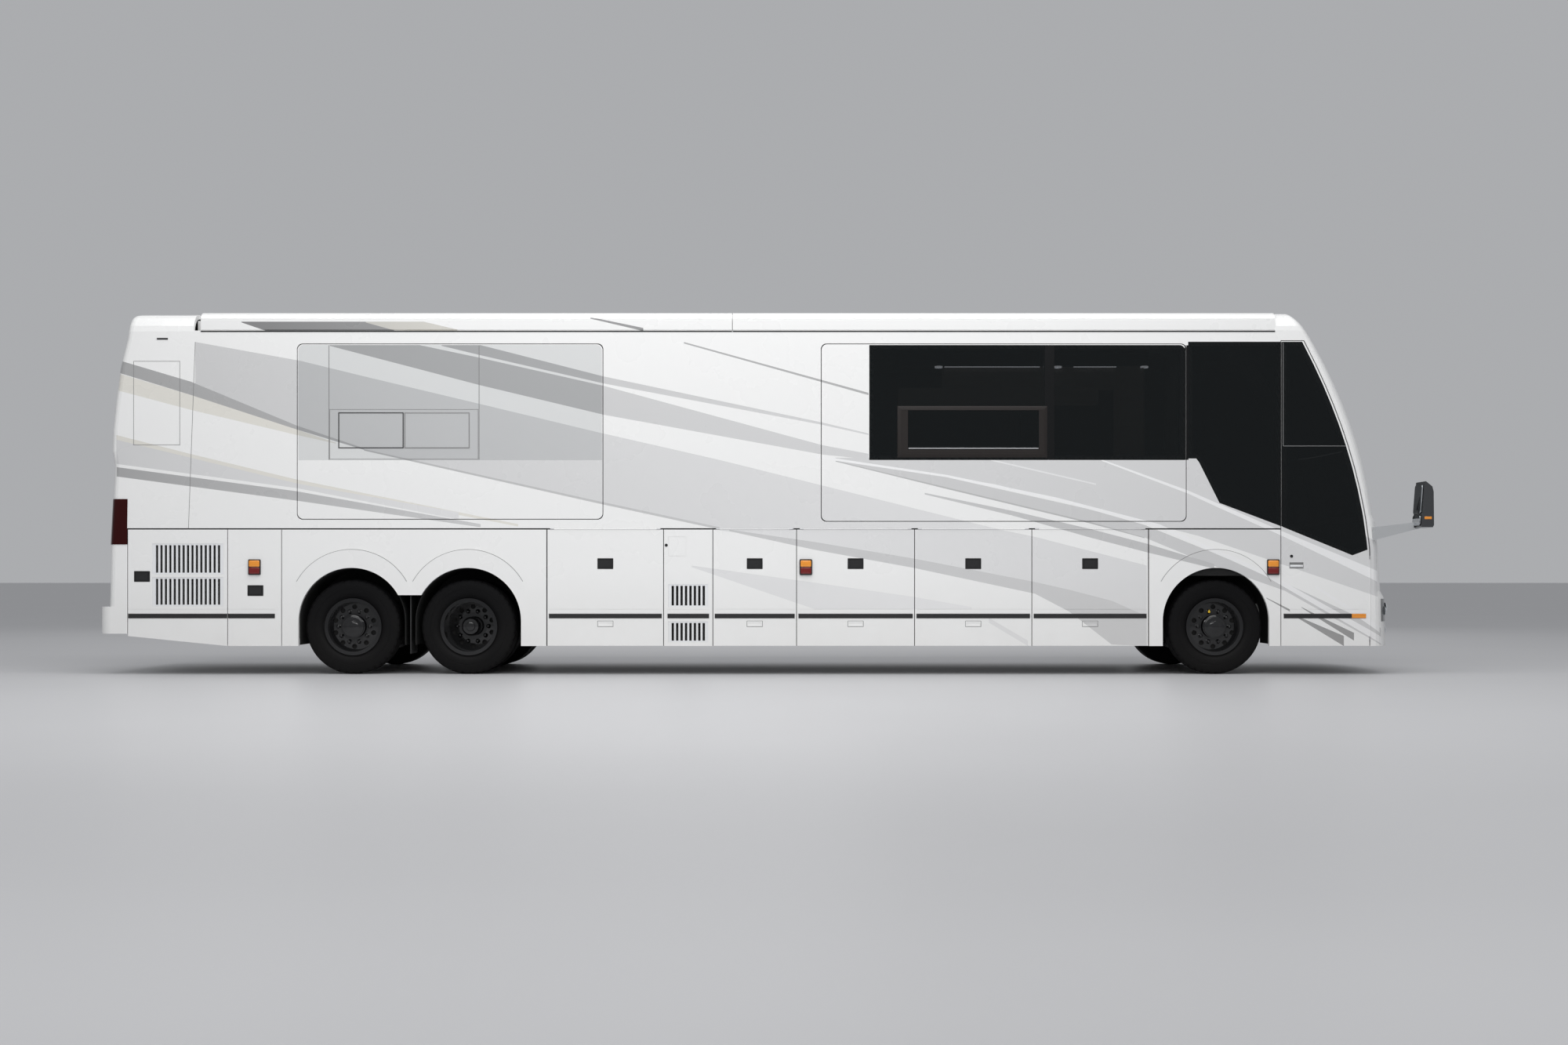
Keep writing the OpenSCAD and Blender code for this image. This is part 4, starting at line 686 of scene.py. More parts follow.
for axle, x in wheel_places.items():
    kind = "twin" if axle == "drive" else "single"
    stud_end = TWIN_STUD_END if axle == "drive" else SINGLE_STUD_END
    hub_end = TWIN_HUB_END if axle == "drive" else SINGLE_HUB_END
    for side, mirror in SIDES:
        for name, source, y in (("nut_covers", cover_ring, stud_end), ("hub_cap", hub_caps[kind], hub_end)):
            piece = copy_piece(source, mirror @ Matrix.Translation((x, y - WHEEL_Y, WHEEL_Z)))
            settle(piece, f"{name}_{axle}_{side}", f"wheel_{axle}_{side}", rim_black)
# A brake drum closes the view through the hand holes
SINGLE_DRUM, TWIN_DRUM = (0.1135, -0.012), (0.0965, 0.190)
DRUM_SECTION = ((0.248, 0), (0.255, 0.006), (0.255, 0.024), (0.248, 0.028), (0.214, 0.028), (0.214, 0.012))
for axle, x in wheel_places.items():
    bore, face = TWIN_DRUM if axle == "drive" else SINGLE_DRUM
    outline = ((bore, 0), *DRUM_SECTION, (bore, 0.012), (bore, 0))
    drum = spun([(radius, face + y) for radius, y in outline], 48)
    drum.data.transform(Matrix.Translation((x, -WHEEL_Y, WHEEL_Z)))
    settle_both(drum, f"brake_drum_{axle}", f"wheel_{axle}_{{}}", housing_black)
# A yellow pointer on one front nut shows whether it has turned
POINTER_ANGLE = math.radians(108)
pointer = begin("cylinder", vertices=24, radius=0.012, depth=0.003, rotation=(math.pi / 2, 0, 0))
pick(pointer, lambda c, n: n.y < -0.9)
step_face(0.004, 0.0015)
pick(pointer, lambda c, d: c.z > 0.0115 and abs(d.y) > 0.9, "EDGE")
bpy.ops.transform.translate(value=(0, 0, 0.008))
object_mode()
pointer.data.transform(Matrix.Translation((wheel_places["front"] + STUD_CIRCLE * math.cos(POINTER_ANGLE),
                                           SINGLE_STUD_END - WHEEL_Y - 0.0125,
                                           WHEEL_Z + STUD_CIRCLE * math.sin(POINTER_ANGLE))))
settle_both(pointer, "nut_pointer", "wheel_front_{}", pointer_yellow)
for source in (cover, cover_ring, *hub_caps.values()):
    bpy.data.objects.remove(source)
print("nut covers and hub caps on 6 wheels")

# %% [markdown]
# ## Wheel housings
# Behind each arch a black housing keeps spray off the bays. It is a tube along Y, cut open at the bottom
# with bisect and given a thickness by Solidify. Its sides run straight down. The front one has a flat top
# below the cab floor and is stretched along X, because the steered tyre swings out beyond its own circle. A
# half disc above the axle closes the inner end, and a second one fills the arch above the flat top.

# %% Wheel housings
HOUSING_R, ARCH_Z, HOUSING_FOOT_Z = 0.559, 0.565, 0.31
HOUSING_Y = (1.246, 0.560)
WALL_FOOT_Z, LIP_R, LIP_Y = 0.74, 0.575, 1.2535
HOUSING_TOP = {"front": 1.052, "drive": 1.3, "tag": 1.3}
HOUSING_STRETCH = {"front": 1.16, "drive": 1.0, "tag": 1.0}


def half_disc(x, y, radius, foot):
    """A thin disc across the coach with everything below the foot cut away."""
    disc = begin("cylinder", vertices=72, radius=radius, depth=0.004, location=(x, -y, ARCH_Z),
                 rotation=(math.pi / 2, 0, 0))
    cut_below(foot)
    return disc


for axle, x in wheel_places.items():
    top, stretch = HOUSING_TOP[axle], HOUSING_STRETCH[axle]
    depth = HOUSING_Y[0] - HOUSING_Y[1]
    housing = begin("cylinder", vertices=72, radius=HOUSING_R, depth=depth, end_fill_type="NOTHING",
                    location=(x, -(HOUSING_Y[0] + HOUSING_Y[1]) / 2, ARCH_Z), rotation=(math.pi / 2, 0, 0))
    cut_below(HOUSING_FOOT_Z, fill=False)
    wall = half_disc(x, HOUSING_Y[1], HOUSING_R, WALL_FOOT_Z)
    for vertex in (*housing.data.vertices, *wall.data.vertices):
        if vertex.co.z < ARCH_Z:
            vertex.co.x = x + math.copysign(HOUSING_R, vertex.co.x - x)
        vertex.co.x = x + (vertex.co.x - x) * stretch
        vertex.co.z = min(vertex.co.z, top)
    apply_modifier(housing, "SOLIDIFY", thickness=0.004, offset=1.0)
    pieces = [housing, wall]
    if top < ARCH_Z + HOUSING_R:
        pieces.append(half_disc(x, LIP_Y, LIP_R, top - 0.006))
    settle_both(join(pieces), f"wheel_housing_{axle}", "coach", housing_black)
print("6 wheel housings")

# %% [markdown]
# Each flare meets its panel in a soft crease. A grey bead, a torus that is cut off above the foot of the
# flare, stands for a seam there and paints the fine shade line of that crease. Between the rear wheels hang a
# rubber flap and, further in, a splash panel.

# %% Flare beads, flaps and splash panels
FLARE_R, FLARE_Z, BEAD_FOOT_Z = 0.6705, 0.655, 0.985
PANEL_Y = -1.2955
# The grey bead is partly a seam and partly painted shade: its grey draws the dark line of the crease
for axle, x in wheel_places.items():
    bead = begin("torus", major_segments=144, minor_segments=8, major_radius=FLARE_R, minor_radius=0.0032,
                 location=(x, PANEL_Y, FLARE_Z), rotation=(math.pi / 2, 0, 0))
    cut_below(BEAD_FOOT_Z)
    settle_both(bead, f"flare_bead_{axle}", "coach", seal_grey)

FLAP_X = (wheel_places["drive"] + wheel_places["tag"]) / 2
flap = block((FLAP_X - 0.006, -1.235, 0.215), (FLAP_X + 0.006, -0.900, 0.850))
pick(flap, lambda c, n: abs(n.x) > 0.9)
step_face(0.03, -0.002)
round_edges(0.002)
settle_both(flap, "mud_flap", "coach", grip_rubber)
splash = block((FLAP_X - 0.26, -0.606, 0.300), (FLAP_X + 0.26, -0.600, 0.845))
pick(splash, lambda c, n: n.y < -0.9)
bpy.ops.mesh.subdivide(number_cuts=3)
bpy.ops.mesh.inset(thickness=0.02, use_individual=True)
bpy.ops.transform.translate(value=(0, 0.002, 0))
settle_both(splash, "splash_panel", "coach", housing_black)
print("beads, flaps and splash panels")

# %% [markdown]
# ## Latches, pulls and rubber strips on the lower panels
# Every luggage door has a black paddle latch in a pressed tray and a flush pull near its foot. The latch
# starts as a box: its face is inset and pushed in for the tray, inset again and pushed out for the paddle.
# One of each is modelled at the origin, and copies go to the doors of the right side and, mirrored, to the
# left.

# %% Latches and pulls
SIDE_Y = -1.295
PRESS_Y = SIDE_Y + 0.010
LATCH_W, LATCH_H, LATCH_Z = 0.170, 0.116, 1.174
PULL_H, PULL_Z = 0.066, 0.535
MARGIN = 0.002


def faces_out(centre, normal):
    return normal.y < -0.9


def latch_at_origin():
    """A paddle latch around x = z = 0, seated in its pressing."""
    latch = block((-LATCH_W / 2 + MARGIN, SIDE_Y - 0.002, -LATCH_H / 2 + MARGIN),
                  (LATCH_W / 2 - MARGIN, PRESS_Y, LATCH_H / 2 - MARGIN))
    round_edges(0.0015)
    pick(latch, lambda c, n: n.y < -0.99 and abs(c.x) < 0.01)
    step_face(0.007, -0.006)
    step_face(0.010, 0.007)
    step_face(0.005, 0.0015)
    bpy.ops.transform.translate(value=(0, 0, 0.006))
    object_mode()
    return latch


def pull_at_origin():
    """A body-coloured flap with a finger scoop along its lower edge."""
    gap = 0.005
    flap = block((-LATCH_W / 2 + gap, SIDE_Y - 0.001, -PULL_H / 2 + gap),
                 (LATCH_W / 2 - gap, PRESS_Y, PULL_H / 2 - gap))
    round_edges(0.002)
    pick(flap, lambda c, n: n.y < -0.99 and abs(c.x) < 0.01)
    step_face(0.006, -0.003)
    bpy.ops.transform.resize(value=(0.94, 1, 0.7))
    object_mode()
    return flap


bay_x = [-2.291, -1.054, -0.531, 0.357, 1.610, 2.855, 4.092]
DOOR_INSET = 0.004
doors = {i + 1: (bay_x[a] + DOOR_INSET, bay_x[b] - DOOR_INSET)
         for i, (a, b) in enumerate(((0, 1), (2, 3), (3, 4), (4, 5), (5, 6)))}
latch, pull = latch_at_origin(), pull_at_origin()
# Fittings on the right side: (what, piece, body, x, z); the fixed panels carry two latches more
fittings = [("rear_latch", latch, "coach", -6.591, 1.038), ("service_latch", latch, "coach", -5.387, 0.888)]
for number, (x0, x1) in doors.items():
    body = f"bay_door_{{}}_{number}"
    fittings.append((f"latch_{number}", latch, body, (x0 + x1) / 2, LATCH_Z))
    fittings.append((f"pull_{number}", pull, body, (x0 + x1) / 2, PULL_Z))
for what, source, body, x, z in fittings:
    slot, finish = ("cab_plastic", black_plastic) if source is latch else ("body_white", paint)
    settle_both(copy_piece(source, Matrix.Translation((x, 0, z))), what, body, finish)
for source in (latch, pull):
    bpy.data.objects.remove(source)
print(len(fittings) * 2, "latches and pulls")

# %% [markdown]
# A rubber strip sits in a groove along the lower panels. It is a bar whose outer long edges are bevelled
# round, with a shallow channel pressed into its face. At the front it ends in an amber reflector of the
# same section.

# %% Rubber strips
STRIP_Z, STRIP_H, STRIP_D = 0.592, 0.052, 0.008
STRIP_PROUD = 0.005


def strip_between(x0, x1):
    """A rubber bar with a crowned face, seated in the groove."""
    strip = block((x0 + MARGIN, SIDE_Y - STRIP_PROUD, STRIP_Z + 0.003),
                  (x1 - MARGIN, SIDE_Y + STRIP_D, STRIP_Z + STRIP_H - 0.003))
    pick(strip, lambda c, d: c.y < SIDE_Y - 0.004 and abs(d.x) > 0.9, "EDGE")
    round_picked(0.006, 3)
    pick(strip, lambda c, n: n.y < -0.99)
    step_face(0.006, -0.0015)
    object_mode()
    return strip


GROOVE_END = 0.015
REFLECTOR_X = 6.250
strips = {f"door_{n}": (x0 + GROOVE_END, x1 - GROOVE_END, f"bay_door_{{}}_{n}")
          for n, (x0, x1) in doors.items()}
strips["rear_corner"] = (-6.736, -5.686, "coach")
strips["service"] = (-5.678, -5.180, "coach")
strips["vent"] = (-1.014, -0.571, "coach")
for name, (x0, x1, body) in strips.items():
    settle_both(strip_between(x0, x1), f"rub_strip_{name}", body, strip_rubber)
settle(strip_between(5.528, REFLECTOR_X), "rub_strip_entry", "entry_door", strip_rubber)
settle(strip_between(REFLECTOR_X, 6.403), "entry_reflector", "entry_door", lamp_amber)
settle(mirrored(strip_between(5.533, REFLECTOR_X)), "rub_strip_front_left", "coach", strip_rubber)
settle(mirrored(strip_between(REFLECTOR_X, 6.419)), "front_reflector_left", "coach", lamp_amber)
print(2 * len(strips) + 4, "strips")

# %% [markdown]
# ## Side lamps
# A side lamp is a dark bezel with an amber lens above and a red one below. Each lens is a box whose face is
# pulled out to a low dome in three smaller and smaller steps, so it catches a soft highlight. The frame's
# lamp blocks stay as bezels.

# %% Side lamps
LAMP_Z, LAMP_FACE_Y = 1.137, SIDE_Y - 0.018
LENS_W, LENS_H, LENS_GAP = 0.112, 0.068, 0.006


def lens_at(x, z):
    """A lens with rounded corners and a low dome."""
    lens = block((x - LENS_W / 2, LAMP_FACE_Y - 0.004, z - LENS_H / 2),
                 (x + LENS_W / 2, LAMP_FACE_Y + 0.002, z + LENS_H / 2))
    pick(lens, lambda c, d: abs(d.y) > 0.9, "EDGE")
    round_picked(0.012, 4)
    pick(lens, lambda c, n: n.y < -0.99)
    for share, height in ((0.93, 0.003), (0.85, 0.002), (0.6, 0.001)):
        bpy.ops.mesh.extrude_region_move(TRANSFORM_OT_translate={"value": (0, -height, 0)})
        bpy.ops.transform.resize(value=(share, 1, share), center_override=(x, LAMP_FACE_Y, z))
    object_mode()
    return lens


lamp_places = {"rear": (-5.395, "coach"), "front": (5.415, "coach"),
               "middle": (doors[3][0] + 0.095, "bay_door_{}_3")}
for where, (x, body) in lamp_places.items():
    for tone, z, finish in (("amber", LAMP_Z + LENS_H / 2 + LENS_GAP / 2, lamp_amber),
                            ("red", LAMP_Z - LENS_H / 2 - LENS_GAP / 2, lens_red)):
        settle_both(lens_at(x, z), f"side_lens_{tone}_{where}", body, finish)
nodes["marker_lamps"].data.materials[0] = black_plastic
# The lamp on door 3 sits on a block that is part of the door, so a thin bezel covers that block
BEZEL_W, BEZEL_H = 0.134, 0.169
bezel_x = lamp_places["middle"][0]
bezel = block((bezel_x - BEZEL_W / 2, LAMP_FACE_Y - 0.001, LAMP_Z - BEZEL_H / 2),
              (bezel_x + BEZEL_W / 2, SIDE_Y + 0.0005, LAMP_Z + BEZEL_H / 2))
pick(bezel, lambda c, n: n.y > 0.9)
bpy.ops.mesh.inset(thickness=0.0018)
bpy.ops.mesh.delete(type="FACE")
pick(bezel, lambda c, d: abs(d.y) > 0.9, "EDGE")
round_picked(0.013, 4)
object_mode()
settle_both(bezel, "lamp_bezel", "bay_door_{}_3", black_plastic)
print("12 lenses")

# %% [markdown]
# ## Behind the grilles
# Daylight must not show through the grilles, and a real coach has a dark mesh filter there. Each filter is
# a plate behind the slats whose face is divided and inset into shallow cells.

# %% Grille filters
FILTER_Y = (-1.266, -1.258)
grilles = {"radiator_upper": (-6.482, -5.727, 1.062, 1.386), "radiator_lower": (-6.482, -5.727, 0.722, 1.029),
           "vent_upper": (-1.004, -0.581, 0.714, 0.955), "vent_lower": (-1.004, -0.581, 0.340, 0.560)}
for name, (x0, x1, z0, z1) in grilles.items():
    screen = block((x0 + MARGIN, FILTER_Y[0], z0 + MARGIN), (x1 - MARGIN, FILTER_Y[1], z1 - MARGIN))
    pick(screen, faces_out)
    bpy.ops.mesh.subdivide(number_cuts=9)
    bpy.ops.mesh.inset(thickness=0.004, use_individual=True)
    bpy.ops.transform.translate(value=(0, 0.003, 0))
    object_mode()
    settle_both(screen, f"filter_{name}", "coach", housing_black)
print(2 * len(grilles), "filters")

# %% [markdown]
# ## Window frames
# The rooms' panes are flush, and each has a vent window in it with a thin frame. A frame starts as a plate.
# Its faces are inset, the inner faces are deleted on both sides and the two rims are bridged, which leaves
# a ring with real thickness.


# %% Window frames
def ring_frame(x0, x1, z0, z1, width, proud, depth=0.002):
    """A rectangular ring that stands proud of the side by a little."""
    ring = block((x0, SIDE_Y - proud, z0), (x1, SIDE_Y + depth, z1))
    pick(ring, lambda c, n: abs(n.y) > 0.9)
    bpy.ops.mesh.inset(thickness=width)
    bpy.ops.mesh.delete(type="FACE")
    inside = 0.75 * width
    pick(ring, lambda c, d: x0 + inside < c.x < x1 - inside and z0 + inside < c.z < z1 - inside, "EDGE")
    bpy.ops.mesh.bridge_edge_loops()
    bpy.ops.mesh.select_all(action="SELECT")
    bpy.ops.mesh.normals_make_consistent(inside=False)
    bpy.ops.mesh.bevel(offset=0.0012, segments=1, affect="EDGES", clamp_overlap=True)
    object_mode()
    return ring


def trim_bar(x0, x1, z0, z1, proud):
    """A slim bar with eased edges on the side's face."""
    bar = block((x0, SIDE_Y - proud, z0), (x1, SIDE_Y + 0.001, z1))
    round_edges(0.001, 1)
    pick(bar, lambda c, n: n.y < -0.99)
    step_face(min(x1 - x0, z1 - z0) * 0.2, 0.0006)
    object_mode()
    return bar


front_slider = [ring_frame(1.428, 3.018, 2.299, 2.847, 0.045, 0.004),
                trim_bar(1.473, 1.540, 2.344, 2.802, 0.0035), trim_bar(2.930, 2.973, 2.344, 2.802, 0.0035),
                trim_bar(1.540, 2.930, 2.344, 2.384, 0.0035)]
settle(join(front_slider), "vent_window_front_room", "front_room", frame_brown)
sill = trim_bar(1.545, 2.925, 2.392, 2.404, 0.004)
settle(sill, "vent_sill_front_room", "front_room", hinge_steel)
for name, x0, x1, finish in (("rear", -4.507, -3.814, black_plastic), ("fore", -3.806, -3.113, seal_grey)):
    settle(ring_frame(x0, x1, 2.399, 2.780, 0.010, 0.003), f"vent_window_{name}_rear_room", "rear_room",
           finish)
settle(ring_frame(-4.600, -3.020, 2.281, 2.814, 0.005, 0.002), "vent_outline_rear_room", "rear_room",
       seal_grey)
# Black masks cover the white edges between the panes, so the dark glass runs through
GLASS_Z = (2.276, 3.493)
DOOR_GLASS_Z = (1.570, 3.528)
masks = {"pane_divider": (2.994, 3.094, GLASS_Z, "front_room"),
         "pane_edge": (4.477, 4.4895, GLASS_Z, "front_room"),
         "cab_edge_rear": (4.4945, 4.518, GLASS_Z, "coach"),
         "cab_edge_front": (5.488, 5.4988, DOOR_GLASS_Z, "coach"),
         "door_edge": (5.5034, 5.519, DOOR_GLASS_Z, "entry_door")}
for name, (x0, x1, (z0, z1), body) in masks.items():
    settle(trim_bar(x0, x1, z0, z1, 0.0008), f"glass_mask_{name}", body, pane_black)
for name, x in (("rear", -4.606), ("fore", -3.013)):
    divider = trim_bar(x - 0.004, x + 0.004, *GLASS_Z, 0.0008)
    settle(divider, f"film_divider_{name}", "rear_room", seal_grey)
print("window frames")

# %% [markdown]
# ## Trim on the walls and doors
# Thin trim finishes the joints: a black rubber seal under the awning cases, which also paints the shadow that
# each case casts, pale lines that divide the door's glass, a lever in the entry door's recess on a grey tray
# that paints the recess's shade, and small key locks. Most of it is slim bars with eased edges.

# %% Wall and door trim
# The black seal under each awning case is partly a seal and partly painted shadow below the case
SEAL_AND_SHADE_Z = (3.633, 3.6475)
for name, x0, x1 in (("rear", -5.968, -0.327), ("fore", -0.321, 5.437)):
    seal = trim_bar(x0, x1, *SEAL_AND_SHADE_Z, 0.003)
    settle_both(seal, f"awning_seal_{name}", "coach", strip_rubber)

# The joint of the rear cap leans back towards its foot
(top_x, top_z), (foot_x, foot_z) = (-6.026, 3.527), (-6.098, 1.545)
joint = trim_bar(top_x - 0.003, top_x + 0.003, foot_z, top_z, 0.0006)
for vertex in joint.data.vertices:
    vertex.co.x += (foot_x - top_x) * (top_z - vertex.co.z) / (top_z - foot_z)
settle_both(joint, "rear_cap_joint", "coach", seal_grey)

# Pale lines that frame the upper part of the door's glass
glass_lines = [trim_bar(5.520, 5.526, 2.424, 3.520, 0.0015), trim_bar(5.526, 6.190, 2.420, 2.426, 0.0015)]
settle(join(glass_lines), "entry_glass_lines", "entry_door", seal_grey)

lever = block((5.596, SIDE_Y - 0.004, 1.137), (5.732, SIDE_Y + 0.004, 1.161))
pick(lever, faces_out)
step_face(0.006, 0.003)
bpy.ops.transform.resize(value=(0.96, 1, 0.8))
round_edges(0.0012)
object_mode()
# The tray is a real recess, and its grey is painted shade round the white lever
socket = block((5.592, SIDE_Y + 0.004, 1.126), (5.736, SIDE_Y + 0.0098, 1.184))
pick(socket, faces_out)
step_face(0.004, -0.003)
settle(socket, "entry_handle_shade_tray", "entry_door", seal_grey)
settle(lever, "entry_handle", "entry_door", grille_paint)


def key_lock(x, z):
    """A round lock barrel with its key slot, seated on the side."""
    lock = begin("cylinder", vertices=28, radius=0.016, depth=0.005, location=(x, SIDE_Y - 0.0015, z),
                 rotation=(math.pi / 2, 0, 0))
    pick(lock, faces_out)
    step_face(0.004, -0.0015)
    bpy.ops.mesh.inset(thickness=0.006)
    bpy.ops.transform.resize(value=(0.5, 1, 1.4))
    push(-0.002)
    object_mode()
    return lock


settle(key_lock(5.611, 1.253), "entry_lock", "entry_door", black_plastic)
settle_both(key_lock(-1.026, 1.370), "hatch_lock", "coach", black_plastic)

# A fine grey frame round each pull's pressing paints the shade at the pressing's edge
pull_shade_frame = ring_frame(-LATCH_W / 2, LATCH_W / 2, -PULL_H / 2, PULL_H / 2, 0.005, 0.0006)
for number, (x0, x1) in doors.items():
    piece = copy_piece(pull_shade_frame, Matrix.Translation(((x0 + x1) / 2, 0, PULL_Z)))
    settle_both(piece, f"pull_frame_{number}", f"bay_door_{{}}_{number}", seal_grey)
bpy.data.objects.remove(pull_shade_frame)

# A slim dark marker high on each rear corner
marker = trim_bar(-6.433, -6.316, 3.552, 3.570, 0.004)
settle_both(marker, "corner_marker", "coach", black_plastic)
print("trim on walls and doors")

# %% [markdown]
# ## Mirrors
# The mirror's housing comes from the frame. The glass on its rear face is a plate with rounded corners and
# a bevelled rim, and a second, wide-angle glass sits below it. An amber repeater wraps the outer edge.


# %% Mirrors
MIRROR_FOOT_Z, MIRROR_LEAN = 1.552, 0.036 / 0.484


def mirror_glass(z0, z1):
    """A bevelled glass on the housing's rear face; the lean moves its top forward to follow that face."""
    glass = block((6.905, -1.482, z0), (6.912, -1.248, z1))
    pick(glass, lambda c, d: abs(d.x) > 0.9, "EDGE")
    round_picked(0.028, 5)
    pick(glass, lambda c, n: n.x < -0.9)
    step_face(0.006, 0.003)
    object_mode()
    for vertex in glass.data.vertices:
        vertex.co.x += MIRROR_LEAN * (vertex.co.z - MIRROR_FOOT_Z)
    return glass


for name, z0, z1 in (("main", 1.700, 2.005), ("wide", 1.575, 1.685)):
    settle_both(mirror_glass(z0, z1), f"mirror_{name}", "coach", mirror_silver)
repeater = block((6.955, -1.504, 1.640), (7.030, -1.497, 1.668))
pick(repeater, faces_out)
step_face(0.005, 0.003)
round_edges(0.001, 1)
object_mode()
settle_both(repeater, "mirror_repeater", "coach", lamp_amber)
print("mirrors")

# %% [markdown]
# ## Front face
# The nose is curved in plan, so flat details would sink into it or hover. Each detail is modelled flat in
# front of the nose, divided finely, and laid onto the shell with a Shrinkwrap modifier that projects along
# X.


# %% Front face
AHEAD_X = 7.2
DOME_FLATNESS, DOME_PROUD = 0.35, 0.004


def lay_on(piece, target, offset, axis="X", forward=False):
    """Moves a flat, finely divided sheet along an axis onto a shell, a little above its surface."""
    apply_modifier(piece, "SHRINKWRAP", target=nodes[target], wrap_method="PROJECT", offset=offset,
                   use_negative_direction=not forward, use_positive_direction=forward,
                   **{f"use_project_{a}": a == axis.lower() for a in "xyz"})


def front_sheet(y0, y1, z0, z1, columns, rows):
    """A sheet across the front, facing forward."""
    sheet = begin("grid", x_subdivisions=columns, y_subdivisions=rows, size=1,
                  location=(AHEAD_X, (y0 + y1) / 2, (z0 + z1) / 2), rotation=(math.pi / 2, 0, math.pi / 2),
                  scale=(y1 - y0, z1 - z0, 1))
    return sheet


def thicken(sheet, thickness):
    """Gives a laid sheet its thickness and eases its edges."""
    apply_modifier(sheet, "SOLIDIFY", thickness=thickness, offset=1.0)
    apply_modifier(sheet, "BEVEL", width=0.002, segments=2, limit_method="ANGLE")
    return sheet


def front_slat(y0, y1, z0, z1, proud):
    sheet = front_sheet(y0, y1, z0, z1, 24, 2)
    lay_on(sheet, "front_cap", 0.001)
    return thicken(sheet, proud)


intake = front_slat(-0.62, 0.62, 0.385, 0.545, 0.003)
settle(intake, "intake_panel", "coach", housing_black)
bars = [front_slat(-0.60, 0.60, z, z + 0.016, 0.016) for z in (0.402, 0.440, 0.478, 0.516)]
settle(join(bars), "intake_bars", "coach", black_plastic)
seams = [front_slat(-1.00, 1.00, 0.905, 0.911, 0.001), front_slat(-1.00, 1.00, 1.622, 1.628, 0.001)]
settle(join(seams), "front_seams", "coach", seal_grey)

# Two projectors inside the lamp's outline and a fog lamp below, as flat half spheres: (shell, y, z, radius)
domes = (("headlamps", 1.075, 0.705, 0.052), ("headlamps", 1.165, 0.672, 0.046),
         ("front_cap", 0.86, 0.462, 0.055))
for side, sign in (("right", -1), ("left", 1)):
    made = []
    for shell, y, z, radius in domes:
        dome = begin("uv_sphere", segments=32, ring_count=16, radius=radius, location=(AHEAD_X, sign * y, z))
        pick_all()
        bpy.ops.mesh.bisect(plane_co=(AHEAD_X, 0, 0), plane_no=(1, 0, 0), clear_inner=True, use_fill=True)
        object_mode()
        hit, spot, normal, index = nodes[shell].ray_cast((8.0, sign * y, z), (-1, 0, 0))
        dome.data.transform(Matrix.Translation((spot.x + DOME_PROUD, 0, 0))
                            @ Matrix.Scale(DOME_FLATNESS, 4, (1, 0, 0))
                            @ Matrix.Translation((-AHEAD_X, 0, 0)))
        made.append(dome)
    settle(join(made), f"front_projectors_{side}", "coach", lamp_clear)
print("front face")

# %% [markdown]
# ## Wipers
# A wiper is an arm from a spindle below the glass and a long blade. Both are thin bars, divided along their
# length so that Shrinkwrap can bend them to the curved windshield.


# %% Wipers
def laid_bar(start, end, width, steps, offset, thickness):
    """A bar between two (y, z) points of the front, laid on the windshield."""
    (y0, z0), (y1, z1) = start, end
    length = math.hypot(y1 - y0, z1 - z0)
    sheet = front_sheet(-length / 2, length / 2, -width / 2, width / 2, steps, 2)
    angle = math.atan2(z1 - z0, y1 - y0)
    middle = Matrix.Translation((0, (y0 + y1) / 2, (z0 + z1) / 2))
    sheet.data.transform(middle @ Matrix.Rotation(angle, 4, "X"))
    lay_on(sheet, "windshield", offset)
    return thicken(sheet, thickness)


for side, sign in (("right", -1), ("left", 1)):
    arm = laid_bar((sign * 0.42, 1.760), (sign * 0.30, 2.180), 0.022, 16, 0.016, 0.010)
    blade = laid_bar((sign * 0.30, 1.830), (sign * 0.30, 2.400), 0.020, 24, 0.003, 0.012)
    settle(join([arm, blade]), f"wiper_{side}", "coach", black_plastic)
print("wipers")

# %% [markdown]
# ## Rear face
# The tail lamps come from the frame as smooth lenses. The engine door gets a pull in its pocket and a dark
# filter behind its louvres. The hatch on the cap's side is only an outline, so four thin strips are laid on
# the shell.

# %% Rear face
ENGINE_X = -6.962
handle = block((ENGINE_X - 0.004, -0.080, 0.834), (ENGINE_X + 0.006, 0.080, 0.872))
pick(handle, lambda c, n: n.x < -0.9)
step_face(0.008, -0.005)
step_face(0.004, 0.004)
round_edges(0.001, 1)
settle(handle, "engine_door_pull", "engine_door", black_plastic)
louvre_filter = block((ENGINE_X + 0.042, -0.70, 1.046), (ENGINE_X + 0.050, 0.70, 1.40))
pick(louvre_filter, lambda c, n: n.x < -0.9)
bpy.ops.mesh.subdivide(number_cuts=9)
bpy.ops.mesh.inset(thickness=0.006, use_individual=True)
bpy.ops.transform.translate(value=(0.003, 0, 0))
settle(louvre_filter, "engine_filter", "engine_door", housing_black)

HATCH_X, HATCH_Z, HATCH_LINE = (-6.682, -6.192), (2.432, 3.320), 0.005


def side_slat(x0, x1, z0, z1, columns, rows):
    """A thin strip beside the coach, laid on the rear cap's side."""
    sheet = begin("grid", x_subdivisions=columns, y_subdivisions=rows, size=1, scale=(x1 - x0, z1 - z0, 1),
                  location=((x0 + x1) / 2, -1.4, (z0 + z1) / 2), rotation=(math.pi / 2, 0, 0))
    lay_on(sheet, "rear_cap", 0.0004, "Y", forward=True)
    apply_modifier(sheet, "SOLIDIFY", thickness=0.0006, offset=1.0)
    return sheet


(hx0, hx1), (hz0, hz1) = HATCH_X, HATCH_Z
hatch = [side_slat(x, x + HATCH_LINE, hz0, hz1, 1, 40) for x in (hx0, hx1)]
hatch += [side_slat(hx0, hx1 + HATCH_LINE, z, z + HATCH_LINE, 24, 1) for z in (hz0, hz1)]
settle_both(join(hatch), "rear_hatch_outline", "coach", seal_grey)
print("rear face")

